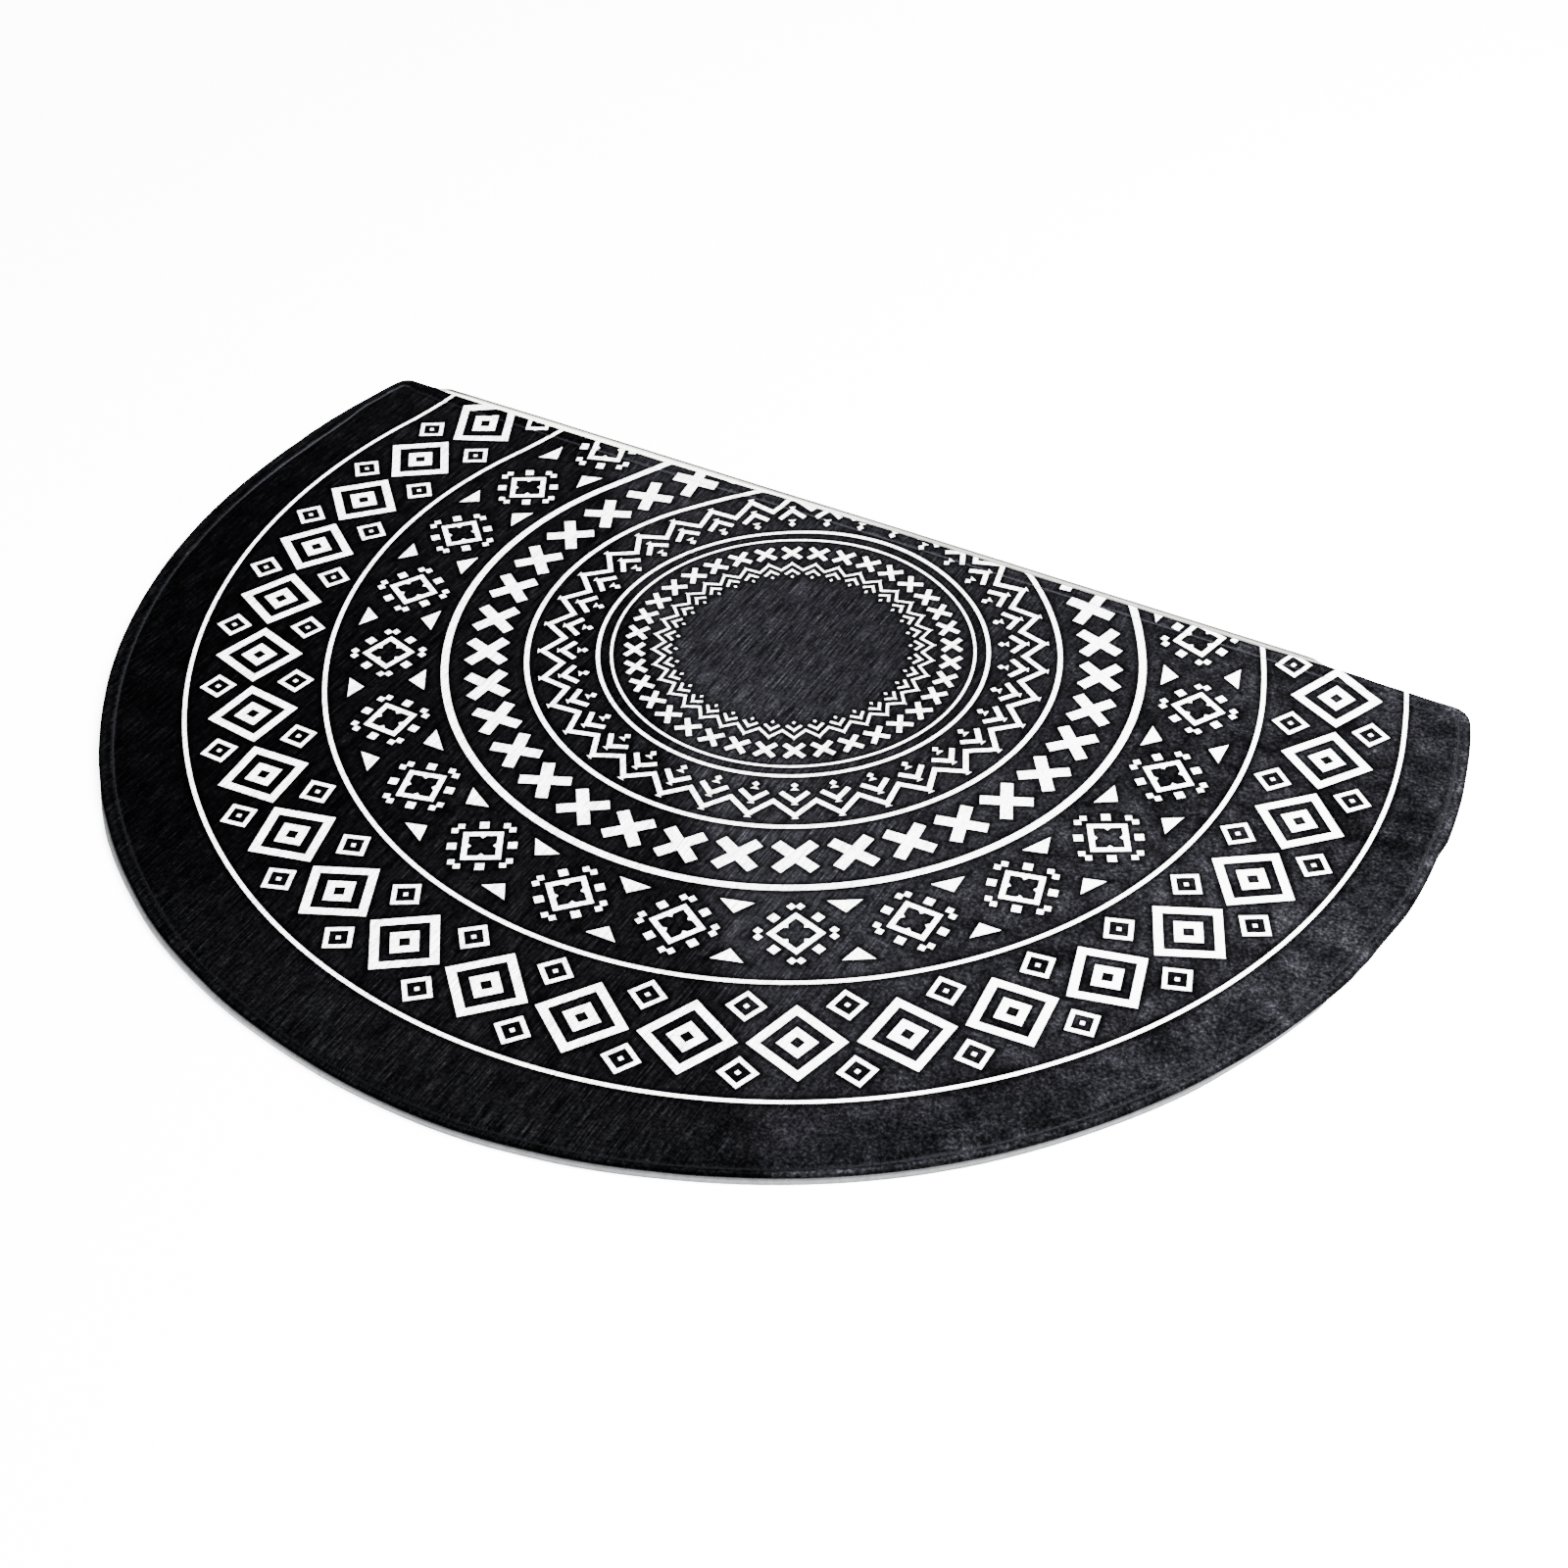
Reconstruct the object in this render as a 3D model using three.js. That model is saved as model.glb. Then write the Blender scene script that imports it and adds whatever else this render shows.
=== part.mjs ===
import * as THREE from 'three';

// A half-round kitchen mat, lying flat on the floor. Lengths are in millimetres, Z is up.
// X runs along the straight edge, which lies at +Y, and the round edge comes forward to -Y.
// Two pieces: the printed pile cloth on top, and the pale backing that it is sewn to.

// Driving dimensions
const arcRadius = 299.7; // radius of the round edge
const straightEdgeAhead = 109.5; // from the centre of the round edge to the straight edge
const leftCornerRun = 6; // how far before its corner the outline starts to turn
const rightCornerRun = 8.5;
const turnReach = 12; // the insets take their direction from this much outline on either side
const backingThickness = 3.0;
const clothThickness = 1.7;
const pieceGap = 0.3; // between the backing and the cloth sewn to it
const grooveDepth = 0.45; // the topstitching pulls the pile down by this much
const grooveHalfWidth = 0.85;
const grooveSideShare = 0.3; // how much of that depth the sides of the groove have
const hemWidth = 1.5; // width of the hem where the cloth wraps down over the backing
const hemTaper = 0.15; // its lower edge is narrower by this much on either side
const widestShare = 0.42; // the cloth's edge stands out furthest at this share of its height
const rollHeight = 4.6; // top of the backing where it rolls up along the straight edge
const flatTopIn = 8; // from the backing's edge to where its top is surely flat

// How many steps the outline takes along each stretch
const arcSteps = 132;
const cornerSteps = 8;
const straightSteps = 120;

// Heights that follow from the thicknesses
const clothUnderside = backingThickness + pieceGap;
const clothTop = clothUnderside + clothThickness;

// The round edge is cut by hand, so it strays from a true arc: the bearing is in degrees round
// the arc's centre, from the left corner past the front to the right corner, and proud is how
// far the edge stands outside the arc, below 0 inside it.
const outlineRows = [
  { bearing: 158, proud: 5.4 },
  { bearing: 160, proud: 5.3 },
  { bearing: 165, proud: 3.3 },
  { bearing: 168, proud: 2.4 },
  { bearing: 171, proud: 1.45 },
  { bearing: 174, proud: 0.5 },
  { bearing: 180, proud: 0.05 },
  { bearing: 192, proud: 0.0 },
  { bearing: 202, proud: 0.2 },
  { bearing: 215, proud: 0.35 },
  { bearing: 229, proud: 0.8 },
  { bearing: 237, proud: 1.1 },
  { bearing: 243, proud: 1.4 },
  { bearing: 252, proud: 0.7 },
  { bearing: 261, proud: 0.15 },
  { bearing: 267, proud: 0.5 },
  { bearing: 276, proud: 1.05 },
  { bearing: 283, proud: 0.6 },
  { bearing: 292, proud: 0.15 },
  { bearing: 311, proud: 0.9 },
  { bearing: 322, proud: 0.6 },
  { bearing: 334, proud: 0.5 },
  { bearing: 340, proud: 0.75 },
  { bearing: 347, proud: 1.15 },
  { bearing: 349, proud: 0.45 },
  { bearing: 352, proud: -0.15 },
  { bearing: 357, proud: 0.95 },
  { bearing: 363, proud: 0.75 },
  { bearing: 366, proud: 2.45 },
  { bearing: 372, proud: 3.1 },
  { bearing: 379, proud: 4.0 },
  { bearing: 384, proud: 4.9 },
];

// The hem along the round edge: stitchIn is how far inside the cloth's edge the topstitching
// runs, wrap is how much of the backing's wall the cloth covers, from 0, none, to 1, all of it,
// and backingIn is how far the backing's edge stands inside the outline, below 0 outside it.
const hemRows = [
  { bearing: 158, stitchIn: 5.0, wrap: 0, backingIn: 0 },
  { bearing: 164, stitchIn: 5.0, wrap: 0, backingIn: 0 },
  { bearing: 170, stitchIn: 8.0, wrap: 0, backingIn: 0 },
  { bearing: 184, stitchIn: 7.8, wrap: 0, backingIn: 0 },
  { bearing: 200, stitchIn: 6.9, wrap: 0, backingIn: 0 },
  { bearing: 224, stitchIn: 6.3, wrap: 0, backingIn: 0 },
  { bearing: 232, stitchIn: 6.3, wrap: 0, backingIn: -1.6 },
  { bearing: 240, stitchIn: 6.0, wrap: 0, backingIn: -1.3 },
  { bearing: 250, stitchIn: 4.6, wrap: 0, backingIn: -1.2 },
  { bearing: 262, stitchIn: 3.5, wrap: 0, backingIn: -0.8 },
  { bearing: 276, stitchIn: 3.3, wrap: 0, backingIn: -0.6 },
  { bearing: 290, stitchIn: 2.6, wrap: 0, backingIn: -0.7 },
  { bearing: 300, stitchIn: 2.8, wrap: 0, backingIn: -0.8 },
  { bearing: 312, stitchIn: 3.3, wrap: 0, backingIn: -0.8 },
  { bearing: 322, stitchIn: 3.6, wrap: 0, backingIn: -0.65 },
  { bearing: 330, stitchIn: 3.5, wrap: 0, backingIn: -0.9 },
  { bearing: 336, stitchIn: 3.5, wrap: 0, backingIn: -0.3 },
  { bearing: 343, stitchIn: 3.9, wrap: 0, backingIn: -0.1 },
  { bearing: 347, stitchIn: 3.9, wrap: 0, backingIn: 1.8 },
  { bearing: 351, stitchIn: 2.5, wrap: 0.9, backingIn: 1.8 },
  { bearing: 356, stitchIn: 2.8, wrap: 0.95, backingIn: 1.8 },
  { bearing: 361, stitchIn: 2.8, wrap: 0.95, backingIn: 1.8 },
  { bearing: 366, stitchIn: 4.2, wrap: 0.95, backingIn: 1.8 },
  { bearing: 384, stitchIn: 4.9, wrap: 0.95, backingIn: 1.8 },
];

// The same along the straight edge, from its left end to its right: setBack is how far the
// cloth's edge stands inside the outline, below 0 outside it, and rise is how much of its full
// height the backing's roll has there.
const straightRows = [
  { x: -290, setBack: 0.65, stitchIn: 8, wrap: 0, backingIn: 0, rise: 0 },
  { x: -276, setBack: 0.95, stitchIn: 8, wrap: 0, backingIn: 0, rise: 0 },
  { x: -267, setBack: 1.1, stitchIn: 8, wrap: 0, backingIn: -1.6, rise: 0 },
  { x: -258, setBack: 2.05, stitchIn: 8, wrap: 0, backingIn: -2.5, rise: 1 },
  { x: -240, setBack: 2.4, stitchIn: 7.8, wrap: 0, backingIn: -2.7, rise: 1 },
  { x: -195, setBack: 2.8, stitchIn: 7.4, wrap: 0, backingIn: -3.05, rise: 1 },
  { x: -130, setBack: 2.55, stitchIn: 7.3, wrap: 0, backingIn: -3.2, rise: 1 },
  { x: -95, setBack: 2.25, stitchIn: 7.4, wrap: 0, backingIn: -3.3, rise: 1 },
  { x: -75, setBack: 1.85, stitchIn: 6.8, wrap: 0, backingIn: -3.35, rise: 1 },
  { x: -60, setBack: 1.45, stitchIn: 6.9, wrap: 0, backingIn: -3.45, rise: 1 },
  { x: -24, setBack: 0.95, stitchIn: 7.2, wrap: 0, backingIn: -3.65, rise: 1 },
  { x: 5, setBack: 0, stitchIn: 7.9, wrap: 0, backingIn: -3.85, rise: 1 },
  { x: 20, setBack: -0.15, stitchIn: 8, wrap: 0, backingIn: -3.8, rise: 1 },
  { x: 65, setBack: 0.15, stitchIn: 7.8, wrap: 0, backingIn: -3.8, rise: 1 },
  { x: 135, setBack: 0.05, stitchIn: 7.8, wrap: 0, backingIn: -3.8, rise: 1 },
  { x: 185, setBack: -0.05, stitchIn: 7.7, wrap: 0, backingIn: -3.85, rise: 1 },
  { x: 200, setBack: -0.45, stitchIn: 8.2, wrap: 0, backingIn: -3.85, rise: 1 },
  { x: 210, setBack: -0.5, stitchIn: 8.3, wrap: 0, backingIn: -3.75, rise: 1 },
  { x: 218, setBack: -0.55, stitchIn: 8.4, wrap: 0, backingIn: -2.9, rise: 0 },
  { x: 227, setBack: -0.45, stitchIn: 8.3, wrap: 0, backingIn: 0, rise: 0 },
  { x: 233, setBack: -0.35, stitchIn: 8.2, wrap: 0, backingIn: 1.8, rise: 0 },
  { x: 245, setBack: -0.25, stitchIn: 8.1, wrap: 0.95, backingIn: 1.8, rise: 0 },
  { x: 255, setBack: -0.15, stitchIn: 8, wrap: 0.95, backingIn: 1.8, rise: 0 },
  { x: 265, setBack: 0.2, stitchIn: 7.6, wrap: 0.95, backingIn: 2, rise: 0 },
  { x: 290, setBack: 0.3, stitchIn: 7.5, wrap: 0.95, backingIn: 2.1, rise: 0 },
];

// The rounded edge of the cloth above its widest part
const clothEdgeRows = [
  { inset: 0.25, drop: 0.55 },
  { inset: 0.75, drop: 0.15 },
];

// The backing's wall from the floor up: how far in each row stands, and its height where the
// edge is flat and where it rolls up
const wallRows = [
  { inset: 0.4, flatHeight: 0, rolledHeight: 0 },
  { inset: 0.05, flatHeight: 0.4, rolledHeight: 0.4 },
  { inset: 0, flatHeight: 1.3, rolledHeight: 1.6 },
  { inset: 0.1, flatHeight: 2.65, rolledHeight: 3.1 },
  { inset: 0.6, flatHeight: backingThickness, rolledHeight: rollHeight - 0.15 },
];

// The inner side of that roll, down to where the cloth starts: where the edge is flat these rows
// lie flatIn inside the backing's edge, and where it rolls up they lie offCloth short of the
// cloth
const rollRows = [
  { flatIn: 1.0, offCloth: 1.3, rolledHeight: rollHeight },
  { flatIn: 1.3, offCloth: 0.5, rolledHeight: rollHeight - 0.35 },
  { flatIn: 1.6, offCloth: pieceGap, rolledHeight: backingThickness },
];

// Reads one column of a table at a place between its rows, with an eased step from row to row
function readTable(rows, placeColumn, column, place) {
  const first = rows[0];
  const last = rows[rows.length - 1];
  const kept = THREE.MathUtils.clamp(place, first[placeColumn], last[placeColumn]);
  const after = Math.max(1, rows.findIndex((row) => row[placeColumn] >= kept));
  const from = rows[after - 1];
  const to = rows[after];
  const eased = THREE.MathUtils.smoothstep(kept, from[placeColumn], to[placeColumn]);
  return THREE.MathUtils.lerp(from[column], to[column], eased);
}

// A point of the round edge, with the arc's centre as the origin
function pointOnArc(bearing) {
  const radius = arcRadius + readTable(outlineRows, 'bearing', 'proud', bearing);
  const angle = THREE.MathUtils.degToRad(bearing);
  return new THREE.Vector2(radius * Math.cos(angle), radius * Math.sin(angle));
}

// The bearing at which the round edge comes up to the given height in Y, found by halving
function bearingAtHeight(height, lowBearing, highBearing) {
  let below = lowBearing;
  let above = highBearing;
  for (let round = 0; round < 40; round += 1) {
    const middle = (below + above) / 2;
    const tooLow = pointOnArc(middle).y < height;
    below = tooLow ? middle : below;
    above = tooLow ? above : middle;
  }
  return (below + above) / 2;
}

// The outline as a ring of stations, counter-clockwise from the left corner. Each has a point
// on the outline, the way out from it, and what the hem does there.
function makeStations() {
  const leftBearing = bearingAtHeight(straightEdgeAhead, 180, 150);
  const rightBearing = bearingAtHeight(straightEdgeAhead, 360, 390);
  const leftCorner = pointOnArc(leftBearing);
  const rightCorner = pointOnArc(rightBearing);
  const degreesPerMillimetre = THREE.MathUtils.radToDeg(1 / arcRadius);
  const arcStart = leftBearing + leftCornerRun * degreesPerMillimetre;
  const arcEnd = rightBearing - rightCornerRun * degreesPerMillimetre;
  const straightStart = rightCorner.clone().setX(rightCorner.x - rightCornerRun);
  const straightEnd = leftCorner.clone().setX(leftCorner.x + leftCornerRun);

  const stations = [];
  for (let step = 0; step < arcSteps; step += 1) {
    const bearing = THREE.MathUtils.lerp(arcStart, arcEnd, step / arcSteps);
    stations.push({ point: pointOnArc(bearing), bearing, straight: false });
  }
  const rightTurn = new THREE.QuadraticBezierCurve(pointOnArc(arcEnd), rightCorner, straightStart);
  for (let step = 0; step < cornerSteps; step += 1) {
    const share = step / cornerSteps;
    stations.push({ point: rightTurn.getPoint(share), bearing: rightBearing, turned: share });
  }
  for (let step = 0; step < straightSteps; step += 1) {
    const point = straightStart.clone().lerp(straightEnd, step / straightSteps);
    stations.push({ point, straight: true });
  }
  const leftTurn = new THREE.QuadraticBezierCurve(straightEnd, leftCorner, pointOnArc(arcStart));
  for (let step = 0; step < cornerSteps; step += 1) {
    const share = step / cornerSteps;
    stations.push({ point: leftTurn.getPoint(share), bearing: leftBearing, turned: 1 - share });
  }
  stations.forEach((station, index) => finishStation(station, index, stations));
  return stations;
}

// The point of the outline that lies the given length from a station, ahead of it where way is 1
// and behind it where way is -1
function pointAlong(stations, index, way, length) {
  const pointAt = (steps) => stations[(index + way * steps + stations.length) % stations.length].point;
  let steps = 0;
  let left = length;
  while (left > pointAt(steps).distanceTo(pointAt(steps + 1))) {
    left -= pointAt(steps).distanceTo(pointAt(steps + 1));
    steps += 1;
  }
  const gap = pointAt(steps).distanceTo(pointAt(steps + 1));
  return pointAt(steps).clone().lerp(pointAt(steps + 1), left / gap);
}

// Gives a station its way out, square to the run of the outline past it, and its hem sizes
function finishStation(station, index, stations) {
  const behind = pointAlong(stations, index, -1, turnReach);
  const ahead = pointAlong(stations, index, 1, turnReach);
  const along = ahead.sub(behind).normalize();
  station.out = new THREE.Vector2(along.y, -along.x);
  // 0 on the round edge, 1 on the straight edge, between them through a corner
  const straightShare = station.straight ? 1 : station.turned ?? 0;
  const onArc = (column) => readTable(hemRows, 'bearing', column, station.bearing ?? 0);
  const onStraight = (column) => readTable(straightRows, 'x', column, station.point.x);
  const { lerp } = THREE.MathUtils;
  station.stitchIn = lerp(onArc('stitchIn'), onStraight('stitchIn'), straightShare);
  station.wrap = lerp(onArc('wrap'), onStraight('wrap'), straightShare);
  station.backingIn = lerp(onArc('backingIn'), onStraight('backingIn'), straightShare);
  station.setBack = onStraight('setBack') * straightShare;
  station.rise = onStraight('rise') * straightShare;
}

// One loop of points round the outline, each moved in by its own inset to its own height
function loopOf(stations, rowAt) {
  return stations.map((station) => {
    const { inset, height } = rowAt(station);
    const x = station.point.x - station.out.x * inset;
    const y = station.point.y - station.out.y * inset;
    return new THREE.Vector3(x, y, height);
  });
}

// Joins loops, from the underside out and up to the top, into one closed body with flat ends
function skinLoops(loops) {
  const count = loops[0].length;
  const bottomMiddle = new THREE.Vector3(0, 0, loops[0][0].z);
  const topMiddle = new THREE.Vector3(0, 0, loops[loops.length - 1][0].z);
  const points = [bottomMiddle, ...loops.flat(), topMiddle];
  const indexOf = (loop, step) => 1 + loop * count + (step % count);
  const faces = [];
  for (let step = 0; step < count; step += 1) {
    faces.push(0, indexOf(0, step + 1), indexOf(0, step));
    for (let loop = 0; loop < loops.length - 1; loop += 1) {
      const lowHere = indexOf(loop, step);
      const lowNext = indexOf(loop, step + 1);
      const highHere = indexOf(loop + 1, step);
      const highNext = indexOf(loop + 1, step + 1);
      faces.push(lowHere, lowNext, highNext, lowHere, highNext, highHere);
    }
    faces.push(points.length - 1, indexOf(loops.length - 1, step), indexOf(loops.length - 1, step + 1));
  }
  const geometry = new THREE.BufferGeometry().setFromPoints(points);
  geometry.setIndex(faces);
  geometry.computeVertexNormals();
  return geometry;
}

// The printed pile cloth: a thin sheet with a rounded edge, pulled down along its topstitching,
// and turned down over the backing at the right
function makeCloth(stations) {
  const row = (insetAt, heightAt) => loopOf(stations, (station) => ({
    inset: station.setBack + insetAt(station),
    height: heightAt(station),
  }));
  const hemBottom = (station) => clothUnderside * (1 - station.wrap);
  const widest = (station) => THREE.MathUtils.lerp(hemBottom(station), clothTop, widestShare);
  const grooveSide = clothTop - grooveDepth * grooveSideShare;
  return skinLoops([
    row(() => hemWidth, () => clothUnderside),
    row(() => hemWidth - hemTaper, hemBottom),
    row(() => hemTaper, hemBottom),
    row(() => 0, widest),
    ...clothEdgeRows.map(({ inset, drop }) => row(() => inset, () => clothTop - drop)),
    row((station) => station.stitchIn * 0.5, () => clothTop),
    row((station) => station.stitchIn - grooveHalfWidth, () => grooveSide),
    row((station) => station.stitchIn, () => clothTop - grooveDepth),
    row((station) => station.stitchIn + grooveHalfWidth, () => grooveSide),
    row((station) => station.stitchIn + grooveHalfWidth * 3, () => clothTop),
  ]);
}

// The pale backing: a flat sheet whose edge stands level with the cloth's at the left and a
// little past it along the front, tucks in under it where the cloth wraps down at the right,
// and rolls up past it along the straight edge
function makeBacking(stations) {
  const { lerp } = THREE.MathUtils;
  const wall = wallRows.map(({ inset, flatHeight, rolledHeight }) => loopOf(stations, (station) => ({
    inset: station.backingIn + inset,
    height: lerp(flatHeight, rolledHeight, station.rise),
  })));
  const roll = rollRows.map(({ flatIn, offCloth, rolledHeight }) => loopOf(stations, (station) => ({
    inset: lerp(station.backingIn + flatIn, station.setBack - offCloth, station.rise),
    height: lerp(backingThickness, rolledHeight, station.rise),
  })));
  const flatTop = loopOf(stations, (station) => ({
    inset: station.backingIn + flatTopIn,
    height: backingThickness,
  }));
  return skinLoops([...wall, ...roll, flatTop]);
}

// Puts both pieces over the middle of their common footprint
function centreOnFootprint(geometries) {
  const box = new THREE.Box3();
  for (const geometry of geometries) {
    geometry.computeBoundingBox();
    box.union(geometry.boundingBox);
  }
  const middle = box.getCenter(new THREE.Vector3());
  for (const geometry of geometries) geometry.translate(-middle.x, -middle.y, 0);
}

const stations = makeStations();
const clothGeometry = makeCloth(stations);
const backingGeometry = makeBacking(stations);
centreOnFootprint([clothGeometry, backingGeometry]);

const pileCloth = new THREE.MeshStandardMaterial({ color: '#1c1d20', roughness: 0.9, metalness: 0 });
const paleFelt = new THREE.MeshStandardMaterial({ color: '#c6c7c9', roughness: 0.95, metalness: 0 });

const mat = new THREE.Group();
const cloth = new THREE.Mesh(clothGeometry, pileCloth);
cloth.name = 'face_cloth';
mat.add(cloth);
const backing = new THREE.Mesh(backingGeometry, paleFelt);
backing.name = 'backing';
mat.add(backing);

export default mat;
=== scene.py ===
# A half-round kitchen mat lying flat on the floor: printed pile cloth, sewn at its hem to a
# pale felt backing that shows along the edges.
import math

import bpy
import numpy as np
from mathutils import Matrix, Vector, noise


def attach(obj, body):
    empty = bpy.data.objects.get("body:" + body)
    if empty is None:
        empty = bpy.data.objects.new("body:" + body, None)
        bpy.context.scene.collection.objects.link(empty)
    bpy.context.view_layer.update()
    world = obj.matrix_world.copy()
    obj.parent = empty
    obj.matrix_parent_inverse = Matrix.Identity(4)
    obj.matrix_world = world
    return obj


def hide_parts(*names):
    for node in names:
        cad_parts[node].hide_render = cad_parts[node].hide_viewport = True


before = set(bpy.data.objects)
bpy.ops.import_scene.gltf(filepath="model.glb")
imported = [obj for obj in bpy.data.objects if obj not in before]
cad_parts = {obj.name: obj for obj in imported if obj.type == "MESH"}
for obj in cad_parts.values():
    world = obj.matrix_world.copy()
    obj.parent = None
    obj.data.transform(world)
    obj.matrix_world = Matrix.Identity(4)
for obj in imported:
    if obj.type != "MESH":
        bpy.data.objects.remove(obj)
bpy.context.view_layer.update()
mm = 0.001

# The middle of the printed rings, on top of the pile, in metres
printCentre = Vector((0.002896, 0.101687, 0.0050))

# Camera, solved from the printed rings of the photo
cameraLook = {
    "azimuth": 30.3,
    "elevation": 41.43,
    "roll": -1.09,
    "lens": 57.05,
    "sensor": 36.0,
    "imageSide": 1600,
    "printCentrePixel": (809.3, 660.3),
    "printCentreDepth": 1.1207,
}


def newObject(name, data):
    thing = bpy.data.objects.new(name, data)
    bpy.context.scene.collection.objects.link(thing)
    return thing


def makeCamera(look, aim):
    azimuth, elevation, roll = (
        math.radians(look[name]) for name in ("azimuth", "elevation", "roll")
    )
    right = Vector((math.cos(azimuth), math.sin(azimuth), 0))
    forward = Vector((
        -math.sin(azimuth) * math.cos(elevation),
        math.cos(azimuth) * math.cos(elevation),
        -math.sin(elevation),
    ))
    up = right.cross(forward)
    rolledRight = right * math.cos(roll) + up * math.sin(roll)
    rolledUp = up * math.cos(roll) - right * math.sin(roll)
    pixelsPerDepth = look["lens"] / look["sensor"] * look["imageSide"]
    middle = look["imageSide"] / 2
    across = (look["printCentrePixel"][0] - middle) / pixelsPerDepth
    down = (look["printCentrePixel"][1] - middle) / pixelsPerDepth
    sight = forward + rolledRight * across - rolledUp * down
    place = aim - sight * look["printCentreDepth"]
    data = bpy.data.cameras.new("camera")
    data.lens = look["lens"]
    data.sensor_width = look["sensor"]
    camera = newObject("camera", data)
    turned = Matrix((rolledRight, rolledUp, -forward)).transposed().to_4x4()
    camera.matrix_world = Matrix.Translation(place) @ turned
    bpy.context.scene.camera = camera


makeCamera(cameraLook, printCentre)
print("camera done")

# The outline, in millimetres from the middle of the round edge's arc. Bearings are in degrees
# round it, from the left corner past the front to the right corner.
outline = {
    "arcRadius": 299.7,
    "straightEdgeAhead": 109.5,
    "leftCornerRun": 6.0,
    "rightCornerRun": 8.5,
    "leftCornerBetween": (180.0, 150.0),
    "rightCornerBetween": (360.0, 390.0),
    "cornerSteps": 40,
    "turnReach": 12.0,
    "arcCentre": (-0.4066, 93.8366),
}
# How far the round edge stands proud of its arc
outlineTable = {
    "columns": ("bearing", "proud"),
    "rows": (
        (158, 5.4), (160, 5.3), (165, 3.3), (168, 2.4), (171, 1.45), (174, 0.5), (180, 0.05),
        (192, 0), (202, 0.2), (215, 0.35), (229, 0.8), (237, 1.1), (243, 1.4), (252, 0.7),
        (261, 0.15), (267, 0.5), (276, 1.05), (283, 0.6), (292, 0.15), (311, 0.9), (322, 0.6),
        (334, 0.5), (340, 0.75), (347, 1.15), (349, 0.45), (352, -0.15), (357, 0.95),
        (363, 0.75), (366, 2.45), (372, 3.1), (379, 4.0), (384, 4.9),
    ),
}
# Along the round edge: how far in the stitching lies, how far down the backing's edge the hem
# wraps (0 to 1), how far in the backing lies (below 0 where it stands out), and how far the pile
# reaches past the cloth's edge
hemTable = {
    "columns": ("bearing", "stitchIn", "wrap", "backingIn", "pileOut"),
    "rows": (
        (158, 5.0, 0, 0, 0), (164, 5.0, 0, 0, 0), (170, 8.0, 0, 0, 0), (184, 7.8, 0, 0, 0),
        (200, 6.9, 0, 0, 0), (224, 6.3, 0, 0, -0.15), (232, 6.3, 0, -1.6, -0.2),
        (240, 6.0, 0, -1.3, -0.3), (250, 4.6, 0, -1.2, -0.3), (262, 3.5, 0, -0.8, -0.2),
        (276, 3.3, 0, -0.6, -0.1), (290, 2.6, 0, -0.7, 0), (300, 2.8, 0, -0.8, 0.2),
        (312, 3.3, 0, -0.8, 0.35), (322, 3.6, 0, -0.65, 0.45), (330, 3.5, 0, -0.9, 0.5),
        (336, 3.5, 0, -0.3, 0.65), (343, 3.9, 0, -0.1, 0.9), (347, 3.9, 0, 1.8, 1.2),
        (351, 2.5, 0.9, 1.8, 1.0), (356, 2.8, 0.95, 1.8, 0.9), (361, 2.8, 0.95, 1.8, 0.9),
        (366, 4.2, 0.95, 1.8, 0.9), (384, 4.9, 0.95, 1.8, 0.9),
    ),
}
# The same along the straight edge, with how far back the cloth lies and how much the backing
# rolls up (0 to 1)
straightTable = {
    "columns": ("x", "setBack", "stitchIn", "wrap", "backingIn", "rise", "pileOut"),
    "rows": (
        (-290, 0.65, 8, 0, 0, 0, 0), (-276, 0.95, 8, 0, 0, 0, 0), (-267, 1.1, 8, 0, -1.6, 0, 0.1),
        (-258, 2.05, 8, 0, -2.5, 1, 0.2), (-240, 2.4, 7.8, 0, -2.7, 1, 0.2),
        (-195, 2.8, 7.4, 0, -3.05, 1, 0.1), (-130, 2.55, 7.3, 0, -3.2, 1, 0.1),
        (-95, 2.25, 7.4, 0, -3.3, 1, 0.2), (-75, 1.85, 6.8, 0, -3.35, 1, 0.15),
        (-60, 1.45, 6.9, 0, -3.45, 1, 0.1), (-24, 0.95, 7.2, 0, -3.65, 1, -0.1),
        (5, 0, 7.9, 0, -3.85, 1, -0.4), (20, -0.15, 8, 0, -3.8, 1, -0.5),
        (65, 0.15, 7.8, 0, -3.8, 1, -0.45), (135, 0.05, 7.8, 0, -3.8, 1, -0.4),
        (185, -0.05, 7.7, 0, -3.85, 1, -0.5), (200, -0.45, 8.2, 0, -3.85, 1, -0.4),
        (210, -0.5, 8.3, 0, -3.75, 1, -0.2), (218, -0.55, 8.4, 0, -2.9, 0, 0),
        (227, -0.45, 8.3, 0, 0, 0, 0.2), (233, -0.35, 8.2, 0, 1.8, 0, 0.3),
        (245, -0.25, 8.1, 0.95, 1.8, 0, 0.25), (255, -0.15, 8, 0.95, 1.8, 0, 0.25),
        (265, 0.2, 7.6, 0.95, 2, 0, 0.4), (290, 0.3, 7.5, 0.95, 2.1, 0, 0.9),
    ),
}

# How light the topstitching looks, 0 black and 1 white: its thread catches the light where it
# lies across it
arcThreadTable = {
    "columns": ("bearing", "light"),
    "rows": (
        (158, 0.8), (175, 1.0), (190, 0.5), (212, 0.5), (240, 0.28), (262, 0.23), (298, 0.31),
        (310, 0.58), (384, 0.64),
    ),
}
straightThreadTable = {
    "columns": ("x", "light"),
    "rows": (
        (-290, 0.25), (-190, 0.5), (-145, 0.85), (-90, 0.95), (190, 1.0), (250, 0.64), (290, 0.54),
    ),
}


# An even share from 0 to 1 turned into an eased one
def eased(share):
    kept = np.clip(share, 0, 1)
    return kept * kept * (3 - 2 * kept)


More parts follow.
